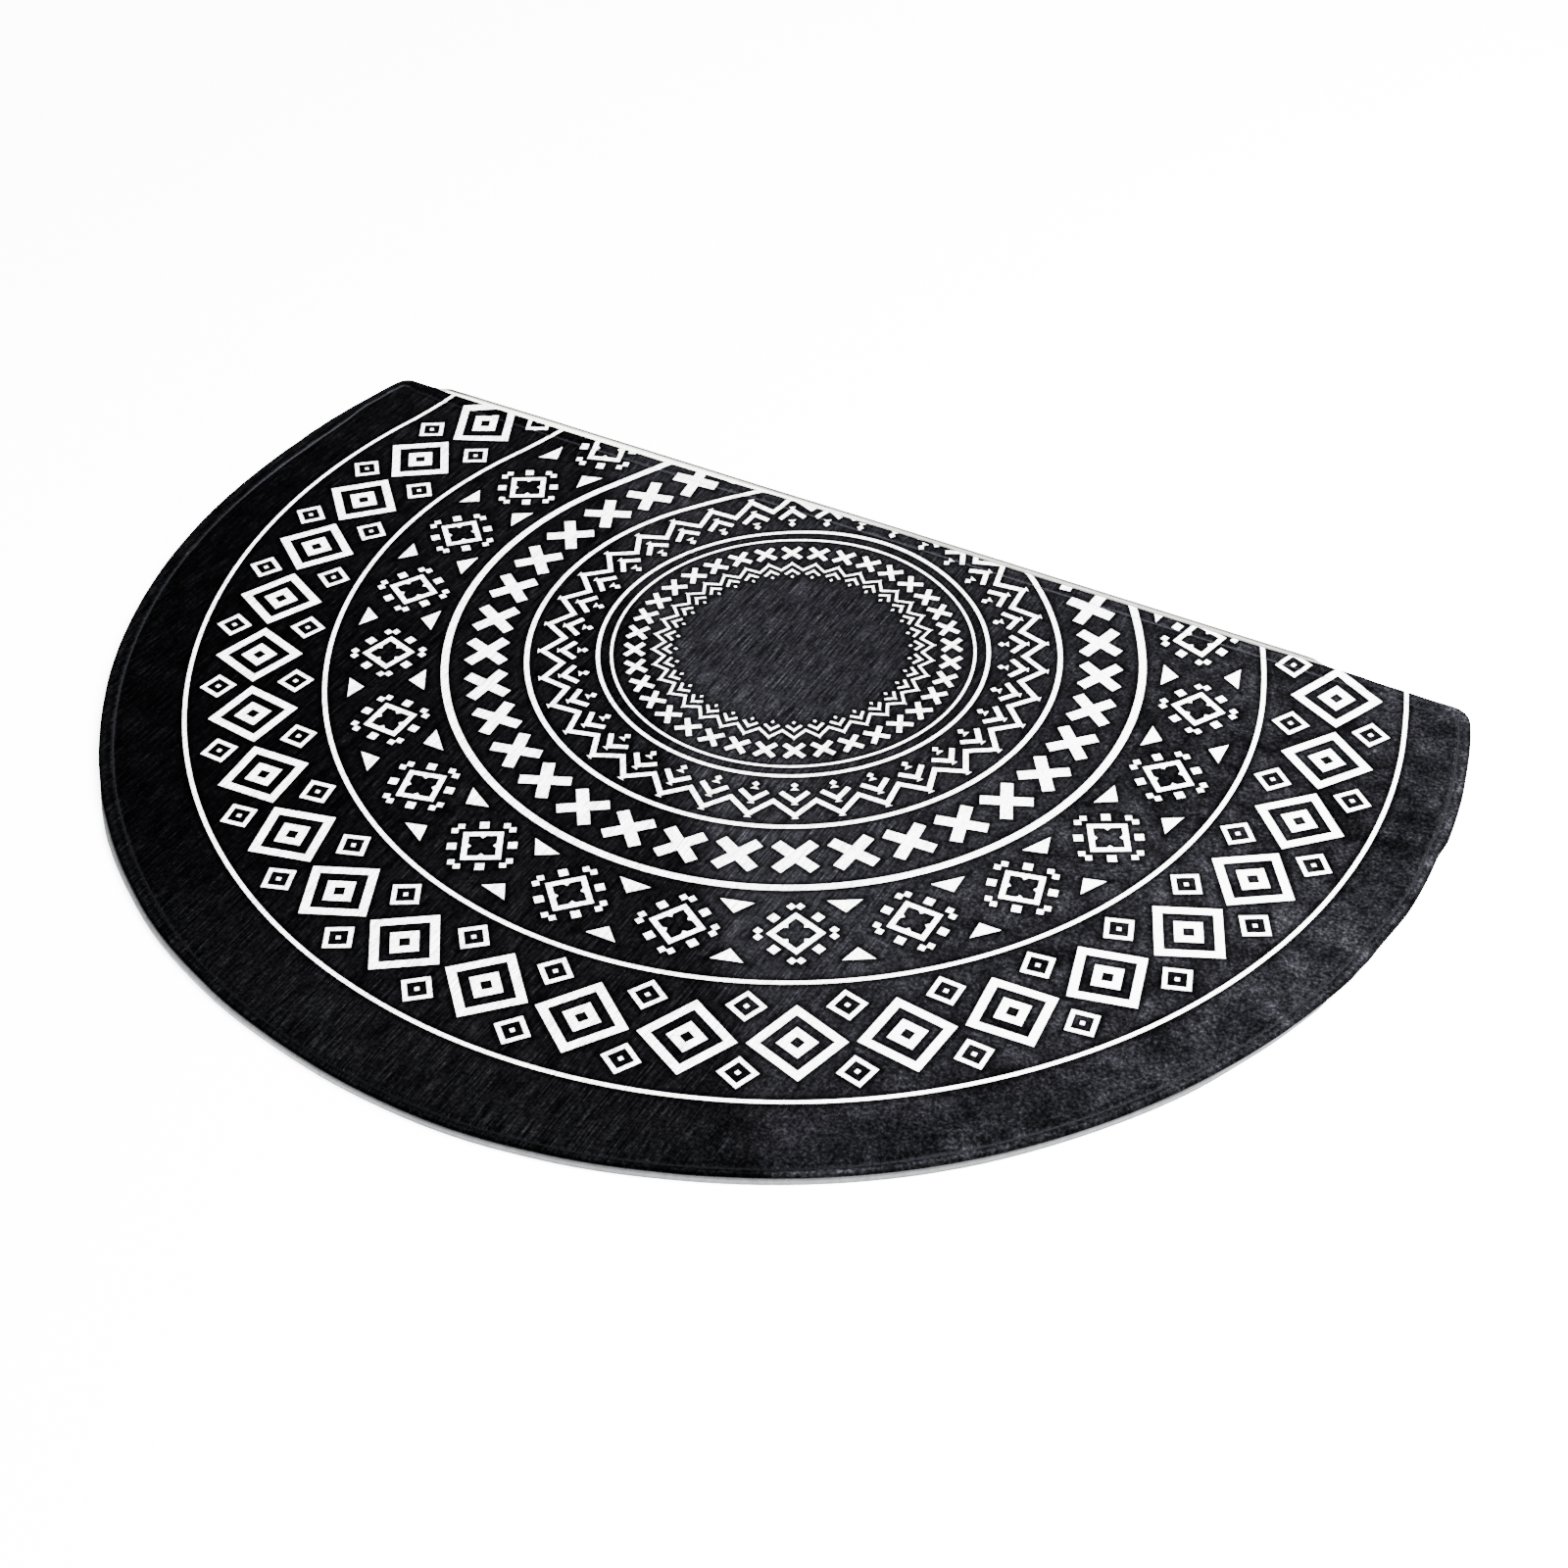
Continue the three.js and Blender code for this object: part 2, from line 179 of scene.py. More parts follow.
# One column of a table at some places between its rows, with an eased step from row to row
def readTable(table, column, places):
    rows = np.array(table["rows"], float)
    keys = rows[:, 0]
    values = rows[:, table["columns"].index(column)]
    kept = np.clip(places, keys[0], keys[-1])
    after = np.clip(np.searchsorted(keys, kept), 1, len(keys) - 1)
    share = eased((kept - keys[after - 1]) / (keys[after] - keys[after - 1]))
    return values[after - 1] + (values[after] - values[after - 1]) * share


def pointsOnArc(bearings):
    radius = outline["arcRadius"] + readTable(outlineTable, "proud", bearings)
    angle = np.radians(bearings)
    return np.stack([radius * np.cos(angle), radius * np.sin(angle)], axis=-1)


# The bearing at which the round edge reaches a height on the plan, between two bearings
def bearingAtHeight(height, low, high):
    for _ in range(outline["cornerSteps"]):
        middle = (low + high) / 2
        if pointsOnArc(middle)[1] < height:
            low = middle
        else:
            high = middle
    return (low + high) / 2


# A rounded corner from one point to another, its sharp corner given
def cornerPoints(start, corner, end, shares):
    share = shares[:, None]
    return start * (1 - share) ** 2 + corner * 2 * share * (1 - share) + end * share ** 2


# For each point of a closed outline, the point that lies the given length further along it
def pointsAlong(points, length):
    closed = np.concatenate([points, points[:1]])
    gaps = np.linalg.norm(np.diff(closed, axis=0), axis=1)
    reached = np.concatenate([[0], np.cumsum(gaps)])
    sought = (reached[:-1] + length) % reached[-1]
    return np.column_stack([np.interp(sought, reached, closed[:, axis]) for axis in (0, 1)])


# The outline as stations about one spacing apart, counter-clockwise from the left corner, each
# with its way out and its hem sizes
def makeStations(spacing):
    ahead = outline["straightEdgeAhead"]
    radius = outline["arcRadius"]
    leftRun = outline["leftCornerRun"]
    rightRun = outline["rightCornerRun"]
    leftBearing = bearingAtHeight(ahead, *outline["leftCornerBetween"])
    rightBearing = bearingAtHeight(ahead, *outline["rightCornerBetween"])
    leftCorner = pointsOnArc(leftBearing)
    rightCorner = pointsOnArc(rightBearing)
    arcStart = leftBearing + math.degrees(leftRun / radius)
    arcEnd = rightBearing - math.degrees(rightRun / radius)
    straightStart = rightCorner - (rightRun, 0)
    straightEnd = leftCorner + (leftRun, 0)

    arcCount = round(math.radians(arcEnd - arcStart) * radius / spacing)
    straightCount = round((straightStart[0] - straightEnd[0]) / spacing)
    rightCount = round(2 * rightRun / spacing)
    leftCount = round(2 * leftRun / spacing)
    arcShare = np.arange(arcCount) / arcCount
    rightShare = np.arange(rightCount) / rightCount
    straightWay = (np.arange(straightCount) / straightCount)[:, None]
    leftShare = np.arange(leftCount) / leftCount
    arcBearing = arcStart + (arcEnd - arcStart) * arcShare
    point = np.concatenate([
        pointsOnArc(arcBearing),
        cornerPoints(pointsOnArc(arcEnd), rightCorner, straightStart, rightShare),
        straightStart * (1 - straightWay) + straightEnd * straightWay,
        cornerPoints(straightEnd, leftCorner, pointsOnArc(arcStart), leftShare),
    ])
    bearing = np.concatenate([
        arcBearing,
        np.full(rightCount + straightCount // 2, rightBearing),
        np.full(straightCount - straightCount // 2 + leftCount, leftBearing),
    ])
    straightness = np.concatenate([
        np.zeros(arcCount), rightShare, np.ones(straightCount), 1 - leftShare
    ])
    turnReach = outline["turnReach"]
    along = pointsAlong(point, turnReach) - pointsAlong(point, -turnReach)
    along /= np.linalg.norm(along, axis=1)[:, None]

    stations = {
        "point": point + outline["arcCentre"],
        "out": np.stack([along[:, 1], -along[:, 0]], axis=1),
        "straightness": straightness,
    }
    for column in ("stitchIn", "wrap", "backingIn", "pileOut"):
        onArc = readTable(hemTable, column, bearing)
        onStraight = readTable(straightTable, column, point[:, 0])
        stations[column] = onArc + (onStraight - onArc) * straightness
    for column in ("setBack", "rise"):
        stations[column] = readTable(straightTable, column, point[:, 0]) * straightness
    onArc = readTable(arcThreadTable, "light", bearing)
    onStraight = readTable(straightThreadTable, "light", point[:, 0])
    stations["threadLight"] = onArc + (onStraight - onArc) * straightness
    return stations


# Each seed reads the noise this far above the last
seedStep = 7.3


# Smooth unevenness between -1 and 1 at each point, with bumps about one size apart
def uneven(points, size, seed):
    return np.array([
        noise.noise(Vector((x / size, y / size, seed * seedStep))) for x, y in points
    ])


# Points round the outline, each moved in by its own inset to its own height
def loopOf(stations, inset, height):
    count = len(stations["point"])
    flat = stations["point"] - stations["out"] * np.broadcast_to(inset, count)[:, None]
    return np.column_stack([flat, np.broadcast_to(height, count)])


# Joins loops, from the middle of the underside round the edge to the middle of the top, into
# one closed body, and links it to the scene
def skinLoops(name, loops, bottomMiddle, topMiddle):
    count = len(loops[0])
    points = np.concatenate([[bottomMiddle], *loops, [topMiddle]]) * mm
    step = np.arange(count)
    after = (step + 1) % count
    quads = [
        np.column_stack([
            1 + row * count + step,
            1 + row * count + after,
            1 + (row + 1) * count + after,
            1 + (row + 1) * count + step,
        ])
        for row in range(len(loops) - 1)
    ]
    lastRow = 1 + (len(loops) - 1) * count
    bottomFan = np.column_stack([np.zeros(count, int), 1 + after, 1 + step])
    topFan = np.column_stack([np.full(count, len(points) - 1), lastRow + step, lastRow + after])
    mesh = bpy.data.meshes.new(name)
    faces = np.concatenate(quads).tolist() + bottomFan.tolist() + topFan.tolist()
    mesh.from_pydata(points.tolist(), [], faces)
    mesh.polygons.foreach_set("use_smooth", [True] * len(mesh.polygons))
    mesh.update()
    return newObject(name, mesh)


# Stores one number for each loop, and for the two middles, as a named attribute of the points
def markLoops(piece, name, valuesOfLoops, bottomValue, topValue):
    values = np.concatenate([[bottomValue], *valuesOfLoops, [topValue]])
    attribute = piece.data.attributes.new(name, "FLOAT", "POINT")
    attribute.data.foreach_set("value", values.astype(np.float32))


plainWhite = (1, 1, 1, 1)


# sRGB hex text to a linear colour
def linearColour(hexText):
    channels = [int(hexText[place:place + 2], 16) / 255 for place in (1, 3, 5)]
    linear = [c / 12.92 if c <= 0.04045 else ((c + 0.055) / 1.055) ** 2.4 for c in channels]
    return (*linear, 1.0)


# Adds a node with its settings, and gives its inputs a value or a link
def addNode(tree, kind, inputs, **settings):
    node = tree.nodes.new(kind)
    for name, value in settings.items():
        setattr(node, name, value)
    for place, value in inputs.items():
        if isinstance(value, bpy.types.NodeSocket):
            tree.links.new(value, node.inputs[place])
        else:
            node.inputs[place].default_value = value
    return node


def newMaterial(name):
    material = bpy.data.materials.new(name)
    material.use_nodes = True
    material.node_tree.nodes.clear()
    return material, material.node_tree


# Ends a material with its colour, how rough and glossy it is, and its fine relief
def addSurface(tree, colour, relief, look):
    bump = addNode(tree, "ShaderNodeBump", {
        "Strength": look["bumpStrength"], "Distance": look["bumpDepth"], "Height": relief,
    })
    shader = addNode(tree, "ShaderNodeBsdfPrincipled", {
        "Base Color": colour,
        "Roughness": look["roughness"],
        "Specular IOR Level": look["specular"],
        "Normal": bump.outputs[0],
    })
    addNode(tree, "ShaderNodeOutputMaterial", {0: shader.outputs[0]})


# Lightness is turned into a share of a colour by this power, as the eye sees it
lightPower = 1.5

# The printed cloth
clothSizes = {
    "top": 5.0,
    "underside": 3.3,
    "edgeRound": 1.2,
    "hemWidth": 1.5,
    "hemTaper": 0.15,
    "footIn": 0.3,
    "footUp": 0.2,
    "widestShare": 0.42,
    "grooveDepth": 0.5,
    "grooveSpread": 0.75,
    "stationSpacing": 1.5,
    "edgeWander": 0.12,
    "edgeWanderSize": 17.0,
    "edgeSeed": 1,
    "stitchWander": 0.5,
    "waveHeight": 0.22,
    "waveSize": 75.0,
    "waveSeed": 2,
    "waveFade": 30.0,
    "middleStep": 9.0,
}
# The cloth's rows: shares of the way from its edge to the stitching, then millimetres past it
rimShares = (0, 0.015, 0.045, 0.09, 0.15, 0.23, 0.33, 0.44, 0.55, 0.65, 0.74, 0.82, 0.89, 0.95, 1)
pastStitch = (0.22, 0.45, 0.75, 1.1, 1.5, 2.0, 2.6, 3.4, 4.6, 7.0)

# How light the black pile looks, 0 black and 1 white, with its sheen and shade painted in. A line
# across the mat parts the dark side, in painted shade, from the bright side, with a painted sheen.
# Each patch on the bright side has its place past the line's middle and beside it, its reach
# both ways, and how much lighter it is, below 0 where it is darker. On the hem the rim, valley and
# groove get painted shade, the crest a painted highlight, and the pile beside the stitching the
# thread's painted highlight.
pileShadeLook = {
    "lineFaces": 39.9,
    "lineAt": -56.0,
    "lineWidth": 18.0,
    "dark": 0.175,
    "darkest": 0.09,
    "darkestPast": -110.0,
    "darkestBeside": -190.0,
    "darkestReach": 140.0,
    "bright": 0.37,
    "patches": (
        (-30, -95, 40, 110, 0.11), (100, -160, 90, 60, 0.06), (180, -235, 50, 45, 0.11),
        (225, -175, 40, 40, -0.12), (0, -300, 80, 60, -0.1), (93, -45, 60, 50, -0.04),
        (145, -105, 45, 45, -0.08),
    ),
    "hemDark": 0.125,
    "hemBright": 0.41,
    "rimLoss": 0.45,
    "rimSpread": 0.22,
    "crestAt": 0.38,
    "straightRimLoss": 0.35,
    "straightRimSpread": 0.45,
    "crestGain": 0.34,
    "crestSpread": 0.16,
    "valleyAt": 0.7,
    "valleyLoss": 0.2,
    "valleySpread": 0.16,
    "grooveAt": 1.8,
    "grooveLoss": 0.2,
    "grooveSpread": 0.8,
    "fringe": 0.75,
    "fringeShare": 0.75,
    "sheenFrom": 60.0,
    "sheenTo": 210.0,
}


# A soft bump, 1 in its middle and fading with distance
def softBump(distance, spread):
    return np.exp(-((distance / spread) ** 2))


# How far the pile at some points is past the line between its painted shade and its painted
# sheen, 0 to 1, and how light it looks away from the hem, sheen and shade painted in
def paintedPileLight(points, look):
    facing = math.radians(look["lineFaces"])
    fromArc = points - outline["arcCentre"]
    past = fromArc @ (math.cos(facing), math.sin(facing))
    beside = fromArc @ (-math.sin(facing), math.cos(facing))
    share = eased((past - look["lineAt"]) / look["lineWidth"] + 0.5)
    darkest = eased((look["darkestPast"] - past) / look["darkestReach"])
    darkest = darkest * eased((beside - look["darkestBeside"]) / look["darkestReach"])
    dark = look["dark"] + (look["darkest"] - look["dark"]) * darkest
    bright = look["bright"]
    for patchPast, patchBeside, reachPast, reachBeside, gain in look["patches"]:
        reach = softBump(past - patchPast, reachPast) * softBump(beside - patchBeside, reachBeside)
        bright = bright + gain * reach
    return share, dark + (bright - dark) * share


# How light the pile looks on a loop at the given inset from the cloth's edge: painted shade on
# the hem's rim, valley and groove, a painted highlight on its crest, and the thread's painted
# highlight spread onto the pile beside the stitching
def hemPaintedLight(stations, loop, inset, stitchIn, look):
    share, ground = paintedPileLight(loop[:, :2], look)
    onHem = inset / stitchIn
    hem = look["hemDark"] + (look["hemBright"] - look["hemDark"]) * share
    hem = hem * (
        1 - look["rimLoss"] * softBump(onHem, look["rimSpread"])
        + look["crestGain"] * softBump(onHem - look["crestAt"], look["crestSpread"])
        - look["valleyLoss"] * softBump(onHem - look["valleyAt"], look["valleySpread"])
    )
    onStraight = stations["straightness"] * softBump(onHem, look["straightRimSpread"])
    hem = hem * (1 - look["straightRimLoss"] * onStraight)
    pastStitching = inset - stitchIn
    groove = softBump(pastStitching - look["grooveAt"], look["grooveSpread"])
    ground = ground * (1 - look["grooveLoss"] * groove)
    light = np.where(pastStitching < 0, hem, ground)
    fringe = look["fringeShare"] * softBump(pastStitching, look["fringe"])
    return light + (stations["threadLight"] - light) * fringe


def makeCloth(sizes, look):
    stations = makeStations(sizes["stationSpacing"])
    wander = uneven(stations["point"], sizes["edgeWanderSize"], sizes["edgeSeed"])
    wander = sizes["edgeWander"] * wander
    setBack = stations["setBack"] + wander - stations["pileOut"]
    stitchIn = stations["stitchIn"] + sizes["stitchWander"] * wander + stations["pileOut"]
    hemBottom = sizes["underside"] * (1 - stations["wrap"])
    widest = hemBottom + (sizes["top"] - hemBottom) * sizes["widestShare"]
    taper = sizes["hemTaper"]
    loops = []
    lights = []

    def addLoop(inset, height):
        loop = loopOf(stations, setBack + inset, height)
        loops.append(loop)
        lights.append(hemPaintedLight(stations, loop, inset, stitchIn, look))

    addLoop(sizes["hemWidth"], sizes["underside"])
    addLoop(sizes["hemWidth"] - taper, hemBottom)
    addLoop(taper, hemBottom)
    addLoop(taper * sizes["footIn"], hemBottom + (widest - hemBottom) * sizes["footUp"])
    for share in rimShares:
        inset = stitchIn * share
        fromCrest = np.clip(1 - inset / sizes["edgeRound"], 0, 1)
        roundedOff = 1 - np.sqrt(1 - fromCrest ** 2)
        groove = softBump(stitchIn - inset, sizes["grooveSpread"])
        height = sizes["top"] - sizes["grooveDepth"] * groove
        addLoop(inset, height - (sizes["top"] - widest) * roundedOff)
    for past in pastStitch:
        groove = softBump(past, sizes["grooveSpread"])
        addLoop(stitchIn + past, sizes["top"] - sizes["grooveDepth"] * groove)

    hemEnd = loops[-1]
    reach = np.linalg.norm(hemEnd[:, :2], axis=1).max()
    steps = round(reach / sizes["middleStep"])
    for step in range(1, steps):
        flat = hemEnd[:, :2] * (1 - step / steps)
        inland = np.linalg.norm(hemEnd[:, :2] - flat, axis=1)
        fade = np.clip(inland / sizes["waveFade"], 0, 1)
        wave = uneven(flat, sizes["waveSize"], sizes["waveSeed"]) * sizes["waveHeight"] * fade
        loops.append(np.column_stack([flat, sizes["top"] + wave]))
        lights.append(paintedPileLight(flat, look)[1])
    topMiddle = (0, 0, float(loops[-1][:, 2].mean()))
    cloth = skinLoops("printedCloth", loops, (0, 0, sizes["underside"]), topMiddle)
    # The pile's painted sheen and shade, stored on the cloth's points
    markLoops(cloth, "pileSheenAndShade", lights, look["dark"], lights[-1].mean())
    # A share that grows towards the right, where the pile gets its painted sheen
    sheenAtRight = [
        eased((loop[:, 0] - look["sheenFrom"]) / (look["sheenTo"] - look["sheenFrom"]))
        for loop in loops
    ]
    markLoops(cloth, "pileSheenAtRight", sheenAtRight, 0, 0)
    return cloth


cloth = makeCloth(clothSizes, pileShadeLook)
print("cloth made")

# The print, in millimetres. Each motif stands upright on its own ray from the print's middle.
# A shape is the inside of its sides: a side faces a direction, in degrees from crosswise to
# outward, and lies a reach away from the motif's middle. The fold says how the motif mirrors:
# "side" across its ray, and "four" across its ray, its crossways line and both diagonals.
halfRoot = math.sqrt(0.5)


def diamond(half):
    return ((45, half * halfRoot),)


def saltire(halfLength, halfWidth):
    return ((45, halfLength), (-45, halfWidth))


def band(faces, halfWidth):
    return ((faces, halfWidth), (faces + 180, halfWidth))


# A right-angled tip, its point towards the print's middle
def tip(point, base):
    return ((-45, -point * halfRoot), (90, base))


def blockAt(along, across, half):
    return (
        (45, (half + along + across) * halfRoot),
        (-45, (half + along - across) * halfRoot),
        (135, (half - along + across) * halfRoot),
        (-135, (half - along - across) * halfRoot),
    )


printedRings = {
    "radius": (270.8, 209.7, 156.6, 120.0, 88.0, 81.9),
    "width": (2.52, 2.68, 3.93, 2.87, 2.41, 1.95),
}
printedMotifs = (
    {"name": "large diamonds", "repeat": 36, "turn": 0, "radius": 241.1, "fold": "four",
     "shapes": (("white", diamond(20.0)), ("black", diamond(13.8)),
                ("white", diamond(8.6)), ("black", diamond(2.6)))},
    {"name": "outer small diamonds", "repeat": 36, "turn": 0.5, "radius": 256.9, "fold": "four",
     "shapes": (("white", diamond(8.6)), ("black", diamond(4.9)), ("white", diamond(1.8)))},
    {"name": "inner small diamonds", "repeat": 36, "turn": 0.5, "radius": 222.7, "fold": "four",
     "shapes": (("white", diamond(8.6)), ("black", diamond(4.9)), ("white", diamond(1.8)))},
    {"name": "flowers", "repeat": 24, "turn": 0, "radius": 182.65, "fold": "four",
     "shapes": (("white", diamond(12.3)), ("black", diamond(8.0) + ((90, 2.9),)),
                ("white", blockAt(8.9, 8.9, 3.2)), ("white", blockAt(15.2, 1.8, 2.45)))},
    {"name": "inner triangles", "repeat": 24, "turn": 0.5, "radius": 165.8, "fold": "none",
     "shapes": (("white", ((-84.6, 0.70), (50.6, 3.80), (139.8, 6.43))),)},
    {"name": "outer triangles", "repeat": 24, "turn": 0.5, "radius": 199.4, "fold": "none",
     "shapes": (("white", ((94.8, 0.13), (-39.9, 4.16), (-130.2, 6.23))),)},
    {"name": "saltires", "repeat": 36, "turn": 0, "radius": 138.1, "fold": "four",
     "shapes": (("white", saltire(11.5, 2.95)),)},
    {"name": "zigzag", "repeat": 36, "turn": 0, "radius": 113.2, "fold": "side",
     "shapes": (("white", band(43.3, 1.49) + ((265, 10.6),)), ("white", tip(-0.1, 2.3)))},
    {"name": "chevrons", "repeat": 36, "turn": 0, "radius": 104.2, "fold": "side",
     "shapes": (("white", band(45, 1.49) + ((-45, 8.6),)), ("white", tip(0.1, 2.5)))},
    {"name": "arrowheads", "repeat": 36, "turn": 0, "radius": 94.05, "fold": "side",
     "shapes": (("white", ((45, 1.48), (-45, 1.48))), ("white", tip(0.8, 3.5)))},
    {"name": "small saltires", "repeat": 36, "turn": 0, "radius": 71.55, "fold": "four",
     "shapes": (("white", saltire(6.2, 1.53)),)},
    {"name": "small zigzag", "repeat": 36, "turn": 0, "radius": 63.26, "fold": "side",
     "shapes": (("white", band(43.9, 0.96) + ((265, 6.1),)), ("white", tip(0.3, 1.55)))},
    {"name": "small chevrons", "repeat": 36, "turn": 0, "radius": 58.11, "fold": "side",
     "shapes": (("white", band(45, 0.96) + ((-45, 4.9),)), ("white", tip(0.1, 1.35)))},
    {"name": "dots", "repeat": 36, "turn": 0, "radius": 52.94, "fold": "side",
     "shapes": (("white", ((38, 0.96), (-38, 0.96))),)},
)
printLook = {
    "motifBearing": 269.8,
    "drawnOutFrom": 69.6,
    "drawnOutTo": 98.6,
    "drawnOutPower": 1.7,
    "ends": (-255.0, 255.0),
    "drawnOut": (4.6, 2.2),
    "drawnAside": (-0.6, 0.0),
    "drawnIn": 0.38,
    "softEdge": 0.12,
    "raggedEdge": 0.12,
    "raggedSize": 0.7,
    "raggedNoise": {"Detail": 2.0},
}


# Towards the straight edge the print lies farther out than its rings, most at the left. This
# turns a place on the mat back into its place in the print.
def addUndrawn(tree, place, look):
    left, right = look["ends"]
    split = addNode(tree, "ShaderNodeSeparateXYZ", {0: place})
    near = addNode(tree, "ShaderNodeMapRange", {
        0: split.outputs["Y"], 1: look["drawnOutFrom"], 2: look["drawnOutTo"],
    })
    share = addNode(tree, "ShaderNodeMath", {
        0: near.outputs[0], 1: look["drawnOutPower"],
    }, operation="POWER")
    most = addNode(tree, "ShaderNodeMapRange", {
        0: split.outputs["X"], 1: left, 2: right, 3: look["drawnOut"][0], 4: look["drawnOut"][1],
    })
    outwards = addNode(tree, "ShaderNodeMath", {
        0: share.outputs[0], 1: most.outputs[0],
    }, operation="MULTIPLY")
    aside = addNode(tree, "ShaderNodeMapRange", {
        0: split.outputs["X"], 1: left, 2: right, 3: look["drawnAside"][0],
        4: look["drawnAside"][1],
    })
    way = addNode(tree, "ShaderNodeCombineXYZ", {0: aside.outputs[0], 1: 1.0})
    drawn = addNode(tree, "ShaderNodeVectorMath", {
        0: way.outputs[0], "Scale": outwards.outputs[0],
    }, operation="SCALE")
    return addNode(tree, "ShaderNodeVectorMath", {
        0: place, 1: drawn.outputs[0],
    }, operation="SUBTRACT").outputs[0]


# How far inside a ring a place lies, from its distance to the print's middle
def addRing(tree, fromMiddle, radius, width):
    off = addNode(tree, "ShaderNodeMath", {0: fromMiddle, 1: radius}, operation="SUBTRACT")
    away = addNode(tree, "ShaderNodeMath", {0: off.outputs[0]}, operation="ABSOLUTE")
    return addNode(tree, "ShaderNodeMath", {
        0: width / 2, 1: away.outputs[0],
    }, operation="SUBTRACT").outputs[0]


# How far a place lies crosswise and outward on the nearest of a motif's rays
def addNearestRay(tree, motif, fromMiddle, angle):
    step = 2 * math.pi / motif["repeat"]
    start = math.radians(printLook["motifBearing"]) + motif["turn"] * step
    off = addNode(tree, "ShaderNodeMath", {0: angle, 1: start}, operation="SUBTRACT")
    turned = addNode(tree, "ShaderNodeMath", {
        0: off.outputs[0], 1: step / 2, 2: -step / 2,
    }, operation="WRAP").outputs[0]
    ways = []
    for operation in ("SINE", "COSINE"):
        part = addNode(tree, "ShaderNodeMath", {0: turned}, operation=operation)
        ways.append(addNode(tree, "ShaderNodeMath", {
            0: fromMiddle, 1: part.outputs[0],
        }, operation="MULTIPLY").outputs[0])
    return ways


# The place on a motif, folded onto the part that its mirrors repeat
def addFoldedPlace(tree, motif, crosswise, outward):
    outward = addNode(tree, "ShaderNodeMath", {
        0: outward, 1: motif["radius"],
    }, operation="SUBTRACT").outputs[0]
    if motif["fold"] != "none":
        crosswise = addNode(tree, "ShaderNodeMath", {
            0: crosswise,
        }, operation="ABSOLUTE").outputs[0]
    if motif["fold"] == "four":
        outward = addNode(tree, "ShaderNodeMath", {0: outward}, operation="ABSOLUTE").outputs[0]
        larger = addNode(tree, "ShaderNodeMath", {
            0: crosswise, 1: outward,
        }, operation="MAXIMUM").outputs[0]
        smaller = addNode(tree, "ShaderNodeMath", {
            0: crosswise, 1: outward,
        }, operation="MINIMUM").outputs[0]
        crosswise, outward = larger, smaller
    return addNode(tree, "ShaderNodeCombineXYZ", {0: crosswise, 1: outward, 2: 1.0}).outputs[0]


# How far inside a shape a folded place lies, which is its least depth behind the shape's sides
def addShape(tree, sides, folded):
    depth = None
    for faces, reach in sides:
        facing = math.radians(faces)
        within = addNode(tree, "ShaderNodeVectorMath", {
            0: folded, 1: (-math.cos(facing), -math.sin(facing), reach),
        }, operation="DOT_PRODUCT").outputs["Value"]
        if depth is not None:
            within = addNode(tree, "ShaderNodeMath", {
                0: depth, 1: within,
            }, operation="MINIMUM").outputs[0]
        depth = within
    return depth


# How far inside a motif's white a folded place lies, with each shape laid over those before it
def addMotif(tree, motif, folded):
    drawn = None
    for colour, sides in motif["shapes"]:
        depth = addShape(tree, sides, folded)
        if colour == "black":
            depth = addNode(tree, "ShaderNodeMath", {
                0: depth, 1: -1.0,
            }, operation="MULTIPLY").outputs[0]
        if drawn is not None:
            depth = addNode(tree, "ShaderNodeMath", {
                0: drawn, 1: depth,
            }, operation="MAXIMUM" if colour == "white" else "MINIMUM").outputs[0]
        drawn = depth
    return drawn


# How far inside the white print a place lies, in millimetres
def addPrint(tree, place):
    flat = addNode(tree, "ShaderNodeVectorMath", {0: place, 1: (1, 1, 0)}, operation="MULTIPLY")
    length = addNode(tree, "ShaderNodeVectorMath", {0: flat.outputs[0]}, operation="LENGTH")
    fromMiddle = length.outputs["Value"]
    split = addNode(tree, "ShaderNodeSeparateXYZ", {0: place})
    angle = addNode(tree, "ShaderNodeMath", {
        0: split.outputs["Y"], 1: split.outputs["X"],
    }, operation="ARCTAN2").outputs[0]

    parts = []
    for radius, width in zip(printedRings["radius"], printedRings["width"]):
        parts.append(addRing(tree, fromMiddle, radius, width))
    rays = {}
    for motif in printedMotifs:
        key = (motif["repeat"], motif["turn"])
        if key not in rays:
            rays[key] = addNearestRay(tree, motif, fromMiddle, angle)
        folded = addFoldedPlace(tree, motif, *rays[key])
        parts.append(addMotif(tree, motif, folded))

    inside = parts[0]
    for part in parts[1:]:
        inside = addNode(tree, "ShaderNodeMath", {
            0: inside, 1: part,
        }, operation="MAXIMUM").outputs[0]
    return inside


# A point's own place from the print's middle, in millimetres
def addPrintPlace(tree):
    coordinates = addNode(tree, "ShaderNodeTexCoord", {})
    fromPrint = addNode(tree, "ShaderNodeVectorMath", {
        0: coordinates.outputs["Object"],
        1: (printCentre.x, printCentre.y, 0),
    }, operation="SUBTRACT")
    return addNode(tree, "ShaderNodeVectorMath", {
        0: fromPrint.outputs[0],
        "Scale": 1 / mm,
    }, operation="SCALE").outputs[0]


# How far inside the white a place lies with the ink's ragged edge, and how white it is, 0 to 1
def addPrinted(tree, place, look):
    ragged = addNode(tree, "ShaderNodeTexNoise", {
        "Vector": place, "Scale": 1 / look["raggedSize"], **look["raggedNoise"],
    }).outputs[0]
    wander = addNode(tree, "ShaderNodeMapRange", {
        0: ragged,
        3: -look["raggedEdge"] - look["drawnIn"],
        4: look["raggedEdge"] - look["drawnIn"],
    }).outputs[0]
    depth = addNode(tree, "ShaderNodeMath", {
        0: addPrint(tree, addUndrawn(tree, place, look)), 1: wander,
    }, operation="ADD").outputs[0]
    printed = addNode(tree, "ShaderNodeMapRange", {
        0: depth, 1: -look["softEdge"], 2: look["softEdge"],
    }, interpolation_type="SMOOTHSTEP").outputs[0]
    return depth, printed
